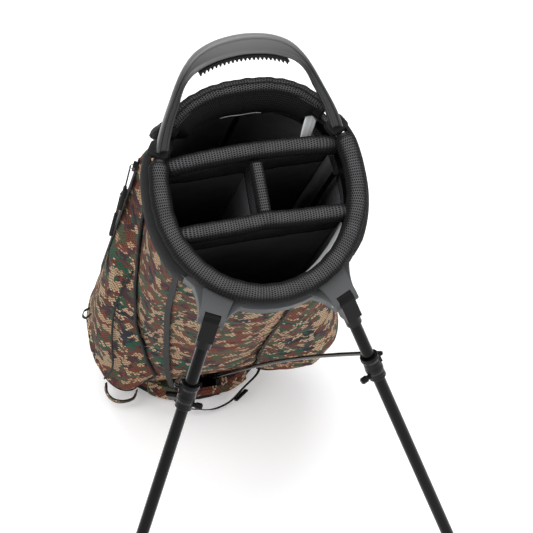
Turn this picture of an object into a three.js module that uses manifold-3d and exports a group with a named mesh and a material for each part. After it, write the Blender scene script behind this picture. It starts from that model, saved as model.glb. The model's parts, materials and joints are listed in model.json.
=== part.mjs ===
// Golf stand bag, standing on its hinged foot plate and two splayed legs.
// Millimetres, +Z up. The origin is the centre of the foot plate's flat underside.
// The bag leans towards -Y; its legs are on the -Y side and its carry side is +Y.
// Inside the bag group, +Z runs up the bag, -Y is the leg side and +Y the carry side.
import * as THREE from 'three';
import { mergeVertices } from 'three/addons/utils/BufferGeometryUtils.js';
import Module from 'manifold-3d';

const wasm = await Module();
wasm.setup();

// Driving dimensions.
const LEAN = THREE.MathUtils.degToRad(35.2);   // lean of the bag when the legs are out
const AXIS_Y = 96.2;                            // where the bag's axis meets the floor
const HINGE_OUT = 36;                          // foot hinge, in front of the bag's axis
const HINGE_UP = 4;                            // foot hinge, above the floor
const BASE_R = 114.5;                          // moulded base cup, outside
const SHELL_R = 111.8;                         // fabric tube at the base
const SHELL_TOP = [113, 119];                  // half width and half depth at the collar
const WALL = 2.4;
const SHELL_END = 873;                         // top edge of the fabric tube
const RIM_UP = 886;                            // centre of the padded rim
const RIM = [113.6, 120.9];                    // centre line of the rim, half width and depth
const RIM_R = 12;
const PIVOT = [77.5, 136, 869];                // leg pivot: across, out from the axis, up
const FOOT_AT = [291.5, 728];                  // leg tip on the floor: across, out from the axis point
const TUBE_R = 7.25;
const ROD_R = 2.6;
const ROD_LOW = [14, 92, 106];                 // lower end of the push rod, in the bag's frame
const ROD_DOWN_LEG = 98;                       // upper end of the push rod, down the leg
const ROD_OUT = 16;                            // and out from the leg's centre line
const GAP = 0.3;
const DIVIDER_REAR = 44;                       // rear divider, behind the axis
const DIVIDER_FRONT = 38;                      // front divider, in front of the axis
const SOLE_T = 6;
const SIN = Math.sin(LEAN);
const COS = Math.cos(LEAN);
const BASE_UP = (HINGE_UP + HINGE_OUT * SIN) / COS - HINGE_UP + 0.2;   // flat rear bottom of the cup

const COLOURS = {
  camo: [0x5a5140, 0.85, 0], black_fabric: [0x151515, 0.9, 0], mesh: [0x1b1b1c, 0.95, 0],
  plastic: [0x1d1d1f, 0.5, 0], grey_plastic: [0x6f7072, 0.55, 0], handle: [0x3a3b3d, 0.45, 0],
  rubber: [0x161616, 0.8, 0], gloss: [0x0c0c0d, 0.25, 0.3], steel: [0x9a9a9c, 0.3, 1],
  label: [0xc9cccd, 0.7, 0],
};

const part = new THREE.Group();
const bag = new THREE.Group();
bag.position.set(0, AXIS_Y, 0);
bag.rotation.set(LEAN, 0, 0);
part.add(bag);

const v3 = (x, y, z) => new THREE.Vector3(x, y, z);
const lerp = THREE.MathUtils.lerp;
const smooth = (value, low, high) => THREE.MathUtils.smoothstep(value, low, high);

function add(parent, name, geometry, colour) {
  const [tint, roughness, metalness] = COLOURS[colour];
  const material = new THREE.MeshStandardMaterial({ color: tint, roughness, metalness });
  const mesh = new THREE.Mesh(geometry, material);
  mesh.name = name;
  parent.add(mesh);
  return mesh;
}

// Positions only, with shared vertices merged.
function bareOf(geometry) {
  const bare = geometry.clone();
  bare.deleteAttribute('normal');
  bare.deleteAttribute('uv');
  return mergeVertices(bare, 1e-3);
}

// Booleans.
function solid(geometry) {
  const merged = bareOf(geometry);
  const vertProperties = new Float32Array(merged.attributes.position.array);
  const triVerts = new Uint32Array(merged.index.array);
  return new wasm.Manifold(new wasm.Mesh({ numProp: 3, vertProperties, triVerts }));
}

function geometryOf(manifold) {
  const mesh = manifold.getMesh();
  const geometry = new THREE.BufferGeometry();
  const stride = mesh.numProp;
  const count = mesh.vertProperties.length / stride;
  const position = new Float32Array(count * 3);
  for (let i = 0; i < count; i += 1) {
    for (let axis = 0; axis < 3; axis += 1) position[i * 3 + axis] = mesh.vertProperties[i * stride + axis];
  }
  geometry.setAttribute('position', new THREE.BufferAttribute(position, 3));
  geometry.setIndex(new THREE.BufferAttribute(new Uint32Array(mesh.triVerts), 1));
  return geometry;
}

const cut = (first, ...others) => geometryOf(others.reduce((s, g) => s.subtract(solid(g)), solid(first)));
const join = (first, ...others) => geometryOf(others.reduce((s, g) => s.add(solid(g)), solid(first)));
const common = (first, ...others) => geometryOf(others.reduce((s, g) => s.intersect(solid(g)), solid(first)));

// Closed solid through a list of rings, each a list of the same number of points.
function loft(rings) {
  const size = rings[0].length;
  const points = rings.flat();
  const index = [];
  for (let r = 0; r + 1 < rings.length; r += 1) {
    for (let i = 0; i < size; i += 1) {
      const a = r * size + i;
      const b = r * size + ((i + 1) % size);
      index.push(a, b, b + size, a, b + size, a + size);
    }
  }
  const caps = [[rings[0], 0, true], [rings[rings.length - 1], (rings.length - 1) * size, false]];
  for (const [ring, start, first] of caps) {
    const middle = ring.reduce((sum, p) => sum.add(p), v3(0, 0, 0)).divideScalar(size);
    const normal = v3(0, 0, 0);
    ring.forEach((p, i) => {
      const q = ring[(i + 1) % size];
      normal.add(p.clone().sub(middle).cross(q.clone().sub(middle)));
    });
    normal.normalize();
    const along = ring[0].clone().sub(middle).projectOnPlane(normal).normalize();
    const across = normal.clone().cross(along);
    const flat = ring.map((p) => {
      const offset = p.clone().sub(middle);
      return new THREE.Vector2(offset.dot(along), offset.dot(across));
    });
    for (const [a, b, c] of THREE.ShapeUtils.triangulateShape(flat, [])) {
      if (first) index.push(start + a, start + c, start + b);
      else index.push(start + a, start + b, start + c);
    }
  }
  const geometry = new THREE.BufferGeometry();
  const numbers = points.flatMap((p) => [p.x, p.y, p.z]);
  geometry.setAttribute('position', new THREE.Float32BufferAttribute(numbers, 3));
  geometry.setIndex(index);
  return facingOut(geometry);
}

// Turns a closed geometry's triangles round when its volume comes out negative.
function facingOut(geometry) {
  const p = geometry.attributes.position;
  const idx = geometry.index.array;
  let volume = 0;
  for (let i = 0; i < idx.length; i += 3) {
    const [a, b, c] = [0, 1, 2].map((k) => new THREE.Vector3().fromBufferAttribute(p, idx[i + k]));
    volume += a.dot(b.cross(c));
  }
  if (volume < 0) {
    for (let i = 0; i < idx.length; i += 3) [idx[i + 1], idx[i + 2]] = [idx[i + 2], idx[i + 1]];
  }
  return geometry;
}

// Sweeps a flat section (list of [side, up]) along points. `face` gives the section's up direction at a
// point; without it the frame is carried along the path without twist.
function sweep(points, section, face = null, scale = () => 1) {
  const tangents = points.map((p, i) => {
    const before = points[Math.max(i - 1, 0)];
    const after = points[Math.min(i + 1, points.length - 1)];
    return after.clone().sub(before).normalize();
  });
  let up = Math.abs(tangents[0].z) < 0.9 ? v3(0, 0, 1) : v3(1, 0, 0);
  return loft(points.map((p, i) => {
    const t = tangents[i];
    if (face) up = face(p, i / (points.length - 1));
    up = up.clone().projectOnPlane(t).normalize();
    const side = t.clone().cross(up);
    const k = scale(i / (points.length - 1));
    return section.map(([s, u]) => p.clone().addScaledVector(side, s * k).addScaledVector(up, u * k));
  }));
}

const curve = (points, steps, closed = false) => new THREE.CatmullRomCurve3(points, closed, 'centripetal')
  .getSpacedPoints(steps);

function disc(radius, sides) {
  return Array.from({ length: sides }, (_, i) => {
    const turn = (i / sides) * 2 * Math.PI;
    return [radius * Math.cos(turn), radius * Math.sin(turn)];
  });
}

// Rounded rectangle section, with `corner` radius and three points a corner.
function roundedBox(width, height, wanted) {
  const corner = Math.min(wanted, width * 0.42, height * 0.42);
  const out = [];
  for (const [sx, sy, start] of [[1, 1, 0], [-1, 1, 1], [-1, -1, 2], [1, -1, 3]]) {
    for (let i = 0; i < 3; i += 1) {
      const turn = (start + i / 2) * Math.PI / 2;
      const x = sx * (width / 2 - corner) + corner * Math.cos(turn);
      const y = sy * (height / 2 - corner) + corner * Math.sin(turn);
      out.push([x, y]);
    }
  }
  return out;
}

const box = (lowX, highX, lowY, highY, lowZ, highZ) => {
  const g = new THREE.BoxGeometry(highX - lowX, highY - lowY, highZ - lowZ);
  return g.translate((lowX + highX) / 2, (lowY + highY) / 2, (lowZ + highZ) / 2);
};

// Round bar between two points.
function bar(from, to, radius, sides = 20) {
  const length = from.distanceTo(to);
  const g = new THREE.CylinderGeometry(radius, radius, length, sides);
  const turn = new THREE.Quaternion().setFromUnitVectors(v3(0, 1, 0), to.clone().sub(from).normalize());
  const middle = from.clone().add(to).multiplyScalar(0.5);
  return g.applyMatrix4(new THREE.Matrix4().compose(middle, turn, v3(1, 1, 1)));
}

// The bag's outline is an oval that is squarer on the carry side. Angles run from +X towards the leg side.
const REAR_POWER = 2.5;
function ovalRadius(turn, halfX, halfY) {
  const power = Math.sin(turn) < 0 ? REAR_POWER : 2;
  const across = Math.abs(Math.cos(turn) / halfX) ** power;
  const out = Math.abs(Math.sin(turn) / halfY) ** power;
  return (across + out) ** (-1 / power);
}
function around(turn, halfX, halfY, up) {
  const radius = ovalRadius(turn, halfX, halfY);
  return v3(radius * Math.cos(turn), -radius * Math.sin(turn), up);
}
const at = (across, out, up) => v3(across, -out, up);

// Extruded side profile: polygon in (Y, Z), run along X.
function profileAlongX(points, halfWidth) {
  const rings = [-halfWidth, halfWidth].map((x) => points.map(([y, z]) => v3(x, y, z)));
  return loft(rings);
}

// World to bag frame.
function toBag(point) {
  const y = point.y - AXIS_Y;
  return v3(point.x, COS * y + SIN * point.z, -SIN * y + COS * point.z);
}

// A geometry drawn in world coordinates, turned into the bag's frame.
function inBag(geometry) {
  const p = geometry.attributes.position;
  for (let i = 0; i < p.count; i += 1) {
    const q = toBag(v3(p.getX(i), p.getY(i), p.getZ(i)));
    p.setXYZ(i, q.x, q.y, q.z);
  }
  return geometry;
}

function bagRadius(turn, up) {
  const t = THREE.MathUtils.clamp((up - 60) / (SHELL_END - 60), 0, 1);
  return lerp(SHELL_R, ovalRadius(turn, SHELL_TOP[0], SHELL_TOP[1]), t);
}

// The fabric is pressed in behind the push rods, most of all low on the leg side.
const PRESSED = { out: 84, until: 120, slope: 0.132, most: 122 };
function frontLimit(up) {
  const eased = PRESSED.out + PRESSED.slope * Math.max(up - PRESSED.until, 0);
  return Math.min(eased, PRESSED.most);
}

function shellRing(up, inset, count = 44) {
  return Array.from({ length: count }, (_, i) => {
    const turn = (i / count) * 2 * Math.PI;
    const radius = bagRadius(turn, up) - inset;
    const p = v3(radius * Math.cos(turn), -radius * Math.sin(turn), up);
    const limit = frontLimit(up) - inset;
    if (-p.y > limit) p.y = -limit - 0.12 * (-p.y - limit);
    return p;
  });
}

// Foot: hinged plate, covered toe, rod saddle and hinge pin.
const HINGE_Y = AXIS_Y - (HINGE_OUT * COS + ((HINGE_UP + HINGE_OUT * SIN) / COS) * SIN);
const FRONT_Y = AXIS_Y - BASE_R / COS;
const CREASE = [FRONT_Y + 15, 32];             // top of the toe, just under the rods
const TOE_BACK = [FRONT_Y + 55, SOLE_T + 1.5];
const ROD_Y = AXIS_Y - (ROD_LOW[1] * COS + ROD_LOW[2] * SIN);
const ROD_Z = ROD_LOW[2] * COS - ROD_LOW[1] * SIN;
const FLOOR_OVAL = BASE_R / COS;

function footOval(grow, low, high, sides = 48) {
  const ring = (z) => Array.from({ length: sides }, (_, i) => {
    const turn = (i / sides) * 2 * Math.PI;
    return v3((BASE_R + grow) * Math.cos(turn), AXIS_Y + (FLOOR_OVAL + grow) * Math.sin(turn), z);
  });
  return loft([ring(low), ring(high)]);
}

function knuckles(centres, halfWidth, backTo, backLow, backHigh) {
  const [lowY, highY] = [Math.min(HINGE_Y, backTo), Math.max(HINGE_Y, backTo)];
  return centres.map((x) => {
    const round = bar(v3(x - halfWidth, HINGE_Y, HINGE_UP), v3(x + halfWidth, HINGE_Y, HINGE_UP), 3.7, 20);
    return join(round, box(x - halfWidth, x + halfWidth, lowY, highY, backLow, backHigh));
  });
}

const SOLE_KNUCKLES = [-60, 0, 60];
const CUP_KNUCKLES = [-30, 30];
const hingeHole = bar(v3(-120, HINGE_Y, HINGE_UP), v3(120, HINGE_Y, HINGE_UP), 2.0, 16);
const soleBack = HINGE_Y - 4.3;
const soleBlank = common(footOval(1, 0, SOLE_T), box(-130, 130, FRONT_Y - 10, soleBack, -1, SOLE_T + 1));
const soleKnuckles = knuckles(SOLE_KNUCKLES, 12, soleBack - 2, 0.4, SOLE_T - 0.4);
add(part, 'foot_sole_plate', cut(join(soleBlank, ...soleKnuckles), hingeHole), 'rubber');

const toeProfile = [
  [TOE_BACK[0], SOLE_T + GAP], [FRONT_Y - 0.5, SOLE_T + GAP], [FRONT_Y - 5.5, 11], [FRONT_Y - 8, 17],
  [FRONT_Y - 7.5, 23], [FRONT_Y - 3, 28], [FRONT_Y + 5, 31.5], CREASE, [TOE_BACK[0], TOE_BACK[1]],
];
const saddleHole = box(-28, 28, ROD_Y - 8.5, ROD_Y + 30, SOLE_T, 60);
const toeBlank = common(profileAlongX(toeProfile, 130), footOval(9, 0, 60));
const toeSideTrim = common(toeBlank, join(footOval(0, 0, 60), profileAlongX(toeProfile, 70)));
add(part, 'foot_toe_cover', cut(toeSideTrim, saddleHole), 'camo');

const saddleFloor = box(-27, 27, ROD_Y - 8, ROD_Y + 12, SOLE_T + GAP, 16);
const saddleCheeks = [-24.5, 24.5].map((x) => box(x - 2.5, x + 2.5, ROD_Y - 8, ROD_Y + 3.5, 15, 38));
const saddleWeb = box(-2.5, 2.5, ROD_Y - 8, ROD_Y + 3.5, 15, 36);
add(part, 'rod_saddle', join(saddleFloor, ...saddleCheeks, saddleWeb), 'plastic');
add(part, 'foot_hinge_pin', bar(v3(-74, HINGE_Y, HINGE_UP), v3(74, HINGE_Y, HINGE_UP), 1.6, 16), 'steel');

// Everything of the bag that is cut away above the foot, turned from world coordinates into the bag's frame.
function footClearance(lift) {
  const floorPart = [
    [AXIS_Y + 40, -80], [AXIS_Y + 40, SOLE_T + lift], [TOE_BACK[0] + 1, SOLE_T + lift],
    [TOE_BACK[0], TOE_BACK[1] + lift], [CREASE[0], CREASE[1] + lift],
    [CREASE[0] - 60, CREASE[1] + 36 + lift], [CREASE[0] - 60, -80],
  ];
  return facingOut(inBag(profileAlongX(floorPart, 160)));
}

const cylinderUp = (radius, low, high, sides = 48) => {
  const ring = (z) => disc(radius, sides).map(([x, y]) => v3(x, y, z));
  return loft([ring(low), ring(high)]);
};

// Base cup with its bevelled front and hinge knuckles.
const CUP_END = 58;
const CUP_FLOOR = 4;
const cupOutside = cut(cylinderUp(BASE_R, BASE_UP, CUP_END), footClearance(0.5));
const cupRoom = cylinderUp(SHELL_R + GAP, BASE_UP + CUP_FLOOR, CUP_END + 2);
const cupInside = cut(cupRoom, footClearance(0.5 + CUP_FLOOR));
const cupKnuckles = knuckles(CUP_KNUCKLES, 15, HINGE_Y + 6, 0.6, SOLE_T + 2.5).map(inBag);
const hingeHoleInBag = bar(toBag(v3(-120, HINGE_Y, HINGE_UP)), toBag(v3(120, HINGE_Y, HINGE_UP)), 2.0, 16);
const knuckleRelief = SOLE_KNUCKLES.map((x) => bar(
  toBag(v3(x - 12.8, HINGE_Y, HINGE_UP)),
  toBag(v3(x + 12.8, HINGE_Y, HINGE_UP)),
  4.2,
  24,
));
const cupShell = cut(cupOutside, cupInside, ...knuckleRelief);
add(bag, 'base_cup', cut(join(cupShell, ...cupKnuckles), hingeHoleInBag), 'plastic');

// Fabric tube.
const LEVELS = [BASE_UP + CUP_FLOOR + GAP, 60, 90, 110, 150, 190, 230, 280, 330, 450, 600, 740, SHELL_END];
const SHELL_LIFT = 0.5 + CUP_FLOOR + GAP;
const tubeOutside = cut(loft(LEVELS.map((z) => shellRing(z, 0))), footClearance(SHELL_LIFT));
const insideLevels = LEVELS.map((z, i) => {
  if (i === 0) return z + 1.6;
  return i === LEVELS.length - 1 ? z + 5 : z;
});
const tubeRoom = loft(insideLevels.map((z) => shellRing(z, WALL)));
const tubeInside = cut(tubeRoom, footClearance(SHELL_LIFT + 1.6));
add(bag, 'bag_body_shell', cut(tubeOutside, tubeInside), 'camo');

// Stays: three stiff rods between the base and the collar.
const STAY_R = 3.4;
const STAY = [BASE_UP + CUP_FLOOR + 2.6, 843.6];
const STAYS = [['stay_left', -100, -18], ['stay_right', 100, -18], ['stay_rear', 0, -104]];
for (const [name, across, out] of STAYS) {
  add(bag, name, bar(at(across, out, STAY[0]), at(across, out, STAY[1]), STAY_R, 12), 'plastic');
}

// Collar frame inside the top of the tube, and the divider sheets and bars of the four-way top.
const COLLAR = [844, 872];
const ovalRing = (halfX, halfY, z, count = 48) => Array.from(
  { length: count },
  (_, i) => around((i / count) * 2 * Math.PI, halfX, halfY, z),
);
const collarOut = [SHELL_TOP[0] - WALL - 0.8, SHELL_TOP[1] - WALL - 0.8];
const collarBlank = loft(COLLAR.map((z) => ovalRing(collarOut[0], collarOut[1], z)));
const collarIn = collarOut.map((half) => half - 5);
const collarHole = loft([COLLAR[0] - 2, COLLAR[1] + 2].map((z) => ovalRing(collarIn[0], collarIn[1], z)));
add(bag, 'collar_frame', cut(collarBlank, collarHole), 'plastic');

const SHEET_T = 1.6;
const SHEET = [66, 842];
const sheetRoom = loft([SHEET[0], 200, 330, SHEET[1]].map((z) => shellRing(z, WALL + 1.2)));
const acrossSheet = (y) => box(-130, 130, y - SHEET_T / 2, y + SHEET_T / 2, SHEET[0] - 5, SHEET[1]);
const middleOut = [-DIVIDER_FRONT + 1.4, DIVIDER_REAR - 1.4];
const middleSheet = box(2 - SHEET_T / 2, 2 + SHEET_T / 2, ...middleOut, SHEET[0], SHEET[1]);
add(bag, 'divider_sheet_rear', common(acrossSheet(DIVIDER_REAR), sheetRoom), 'black_fabric');
add(bag, 'divider_sheet_front', common(acrossSheet(-DIVIDER_FRONT), sheetRoom), 'black_fabric');
add(bag, 'divider_sheet_middle', common(middleSheet, sheetRoom), 'black_fabric');

const BAR_UP = 884;
const BAR_T = 23;
const BAR_H = 26;
function dividerBar(name, [fromX, fromOut], [toX, toOut], width, height) {
  const points = [0, 0.5, 1].map((t) => at(lerp(fromX, toX, t), lerp(fromOut, toOut, t), BAR_UP));
  add(bag, name, sweep(points, roundedBox(width, height, 9), () => v3(0, 0, 1)), 'mesh');
}
const rimInnerX = (out) => (RIM[0] - RIM_R) * Math.sqrt(1 - (out / (RIM[1] - RIM_R)) ** 2) - 6;
const rearX = rimInnerX(DIVIDER_REAR + BAR_T / 2);
const frontX = rimInnerX(DIVIDER_FRONT + BAR_T / 2);
dividerBar('divider_bar_rear', [-rearX, -DIVIDER_REAR], [rearX, -DIVIDER_REAR], BAR_T, BAR_H);
dividerBar('divider_bar_front', [-frontX, DIVIDER_FRONT], [frontX, DIVIDER_FRONT], BAR_T, BAR_H);
const innerGap = BAR_T / 2 + GAP;
dividerBar('divider_bar_middle', [2, -DIVIDER_REAR + innerGap], [2, DIVIDER_FRONT - innerGap], 15, 22);

// Padded rim: a roll round the leg side and a raised pad round the carry side, with the handle between them.
const deg = THREE.MathUtils.degToRad;
function arcPoints(from, to, steps, halfX, halfY, up) {
  const turns = Array.from({ length: steps + 1 }, (_, i) => deg(lerp(from, to, i / steps)));
  return turns.map((turn) => around(turn, halfX, halfY, up));
}
add(bag, 'rim_pad_front', sweep(arcPoints(-25, 205, 44, RIM[0], RIM[1], RIM_UP), disc(RIM_R, 12)), 'mesh');
const outward = (p) => v3(p.x, p.y, 0).normalize();
function raisedPad() {
  const steps = 22;
  return loft(arcPoints(222, 318, steps, RIM[0], RIM[1], RIM_UP).map((p, i) => {
    const swell = Math.sin((i / steps) * Math.PI);
    const top = lerp(888, 907, swell ** 0.6);
    const low = SHELL_END + 0.8;
    const section = [[-9, low], [8, low], [10, low + 5], [10, top - 7], [4, top], [-4, top], [-9, top - 6]];
    const out = outward(p);
    return section.map(([side, up]) => v3(p.x + out.x * side, p.y + out.y * side, up));
  }));
}
add(bag, 'rim_pad_rear', raisedPad(), 'mesh');

// Handle, drawn in its own plane: across, and up along the plane from the rim.
const HANDLE_ROOT = at(0, -66, 890);
const HANDLE_TILT = Math.atan2(62, 94);
const handle = new THREE.Group();
handle.position.copy(HANDLE_ROOT);
handle.rotation.set(HANDLE_TILT, 0, 0);
bag.add(handle);
const HANDLE_T = 13;

function handleShape() {
  const shape = new THREE.Shape();
  shape.moveTo(-110, -4);
  shape.bezierCurveTo(-107, 12, -101, 26, -94, 42);
  shape.bezierCurveTo(-86, 60, -78, 82, -66, 96);
  shape.bezierCurveTo(-56, 110, -36, 121, 0, 122);
  shape.bezierCurveTo(36, 121, 56, 110, 66, 96);
  shape.bezierCurveTo(78, 82, 86, 60, 94, 42);
  shape.bezierCurveTo(101, 26, 107, 12, 110, -4);
  shape.lineTo(95, -4);
  shape.bezierCurveTo(91, 16, 86, 32, 78, 50);
  shape.bezierCurveTo(74, 62, 70, 74, 58, 83);
  shape.bezierCurveTo(40, 95, 20, 98, 0, 98.5);
  shape.bezierCurveTo(-20, 98, -40, 95, -58, 83);
  shape.bezierCurveTo(-70, 74, -74, 62, -78, 50);
  shape.bezierCurveTo(-86, 32, -91, 16, -95, -4);
  shape.closePath();
  return shape;
}
const handleGeometry = new THREE.ExtrudeGeometry(handleShape(), {
  depth: HANDLE_T - 4,
  bevelThickness: 2,
  bevelSize: 2,
  bevelOffset: -2,
  bevelSegments: 1,
  curveSegments: 7,
});
handleGeometry.translate(0, 0, -(HANDLE_T - 4) / 2);
add(handle, 'carry_handle', handleGeometry, 'handle');

// Ribbed grip insert under the handle's arch.
const TEETH = 22;
const archHalf = new THREE.CubicBezierCurve(
  new THREE.Vector2(0, 98.5),
  new THREE.Vector2(20, 98),
  new THREE.Vector2(40, 95),
  new THREE.Vector2(58, 83),
);
function archPoint(t) {
  const p = archHalf.getPoint(Math.abs(t) * 0.9);
  return [Math.sign(t) * p.x, p.y];
}
function gripShape() {
  const shape = new THREE.Shape();
  const steps = TEETH * 4;
  for (let i = 0; i <= TEETH; i += 1) {
    const [x, y] = archPoint(lerp(-1, 1, i / TEETH));
    if (i === 0) shape.moveTo(x, y - 1.3);
    else shape.lineTo(x, y - 1.3);
  }
  for (let i = steps; i >= 0; i -= 1) {
    const [x, y] = archPoint(lerp(-1, 1, i / steps));
    const tooth = i % 4 === 1 || i % 4 === 2;
    shape.lineTo(x, y - (tooth ? 7 : 4));
  }
  shape.closePath();
  return shape;
}
const gripGeometry = new THREE.ExtrudeGeometry(gripShape(), { depth: 10, bevelEnabled: false });
gripGeometry.translate(0, 0, -5);
add(handle, 'handle_grip_insert', gripGeometry, 'rubber');

// Sleeves that hold the handle's feet on the rim.
for (const side of [-1, 1]) {
  const name = side < 0 ? 'handle_sleeve_left' : 'handle_sleeve_right';
  const centre = around(deg(side < 0 ? 212 : -32), RIM[0] + 1, RIM[1] + 1, 0);
  const radial = outward(centre);
  const rings = [[873.8, 21, 17], [877, 24, 19], [883, 23, 18]].map(([z, w, t]) => {
    const tangent = v3(-radial.y, radial.x, 0);
    return roundedBox(w, t, 5).map(([a, b]) => v3(
      centre.x + radial.x * a + tangent.x * b,
      centre.y + radial.y * a + tangent.y * b,
      z,
    ));
  });
  add(bag, name, loft(rings), 'black_fabric');
}

// Leg yoke: a moulded band round the leg side of the collar with two forked arms.
const pivotOf = (side) => at(side * PIVOT[0], PIVOT[1], PIVOT[2]);
const tipOf = (side) => toBag(v3(side * FOOT_AT[0], AXIS_Y - FOOT_AT[1], 0));
const legDown = (side) => tipOf(side).sub(pivotOf(side)).normalize();
const legAxis = (side) => {
  const d = legDown(side);
  return v3(-d.y * side, d.x * side, 0).normalize();
};
const KNUCKLE_W = 19;
const KNUCKLE_R = 10.5;
const ARM_W = 31;
const YOKE = [849, 872];
function yokeArm(side) {
  const p = pivotOf(side);
  const k = legAxis(side);
  const out = v3(k.y, -k.x, 0).multiplyScalar(-1);
  if (out.y > 0) out.negate();
  const levels = [
    [YOKE[0] + 2, -9], [YOKE[0] + 8, 3], [PIVOT[2] - 4, 9], [PIVOT[2] + 5, 9], [PIVOT[2] + 11, 2],
  ];
  return loft(levels.map(([z, reach]) => {
    const ring = [[-30, 1.25], [-12, 1.05], [reach, 0.95]];
    const points = [];
    for (const [r, w] of ring) points.push([r, w * ARM_W / 2]);
    for (const [r, w] of ring.reverse()) points.push([r, -w * ARM_W / 2]);
    return points.map(([r, w]) => v3(p.x + out.x * r + k.x * w, p.y + out.y * r + k.y * w, z));
  }));
}
function legSlot(side) {
  const p = pivotOf(side);
  const k = legAxis(side);
  const half = k.clone().multiplyScalar(KNUCKLE_W / 2 + GAP);
  const round = bar(p.clone().sub(half), p.clone().add(half), KNUCKLE_R + 1.2, 24);
  const d = legDown(side);
  const block = (dir) => {
    const lift = dir.clone().cross(k).normalize();
    const corner = (u, v, w) => p.clone()
      .addScaledVector(dir, u)
      .addScaledVector(lift, v)
      .addScaledVector(half, w);
    const ring = (u) => [corner(u, 11.7, 1), corner(u, 11.7, -1), corner(u, -11.7, -1), corner(u, -11.7, 1)];
    return loft([ring(0), ring(60)]);
  };
  const middle = d.clone().add(v3(0, 0, -1)).normalize();
  const outDown = d.clone().add(v3(0, -1.2, 0)).normalize();
  return [round, block(d), block(middle), block(v3(0, 0, -1)), block(outDown)];
}
const band = loft(YOKE.map((z) => ovalRing(128.5, 136.5, z, 56)));
const bandIn = SHELL_TOP.map((half) => half + 0.8);
const bandHole = loft([YOKE[0] - 1, YOKE[1] + 1].map((z) => ovalRing(bandIn[0], bandIn[1], z, 56)));
const bandRear = box(-160, 160, -64, 160, 800, 920);
const rimRoom = sweep(arcPoints(-28, 208, 48, RIM[0], RIM[1], RIM_UP), disc(RIM_R + 0.8, 16));
const pinHoles = [-1, 1].map((side) => {
  const reach = legAxis(side).multiplyScalar(40);
  return bar(pivotOf(side).sub(reach), pivotOf(side).add(reach), 2.9, 16);
});
const bandFront = cut(band, bandHole, bandRear);
const armed = join(bandFront, yokeArm(-1), yokeArm(1));
const yokeCuts = [...legSlot(-1), ...legSlot(1), bandHole, rimRoom, ...pinHoles];
add(bag, 'leg_yoke', cut(armed, ...yokeCuts), 'grey_plastic');

for (const side of [-1, 1]) {
  const label = side < 0 ? 'left' : 'right';
  const reach = legAxis(side).multiplyScalar(ARM_W / 2 + 0.8);
  const pin = bar(pivotOf(side).sub(reach), pivotOf(side).add(reach), 2.5, 16);
  add(bag, `leg_pivot_pin_${label}`, pin, 'steel');
}

// Legs, each in a group whose -Z runs down the leg and whose X is the pivot axis, outwards.
const LEG_LENGTH = pivotOf(1).distanceTo(tipOf(1));
const ROD_CLAMP = [ROD_DOWN_LEG - 8, ROD_DOWN_LEG + 26];
function legGroup(side) {
  const x = legAxis(side);
  if (x.x * side < 0) x.negate();
  const z = legDown(side).negate();
  const y = z.clone().cross(x);
  const group = new THREE.Group();
  group.position.copy(pivotOf(side));
  group.quaternion.setFromRotationMatrix(new THREE.Matrix4().makeBasis(x, y, z));
  bag.add(group);
  return group;
}
const lathe = (profile, sides) => {
  const points = profile.map(([r, z]) => new THREE.Vector2(r, z));
  return facingOut(bareOf(new THREE.LatheGeometry(points, sides).rotateX(Math.PI / 2)));
};

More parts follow.
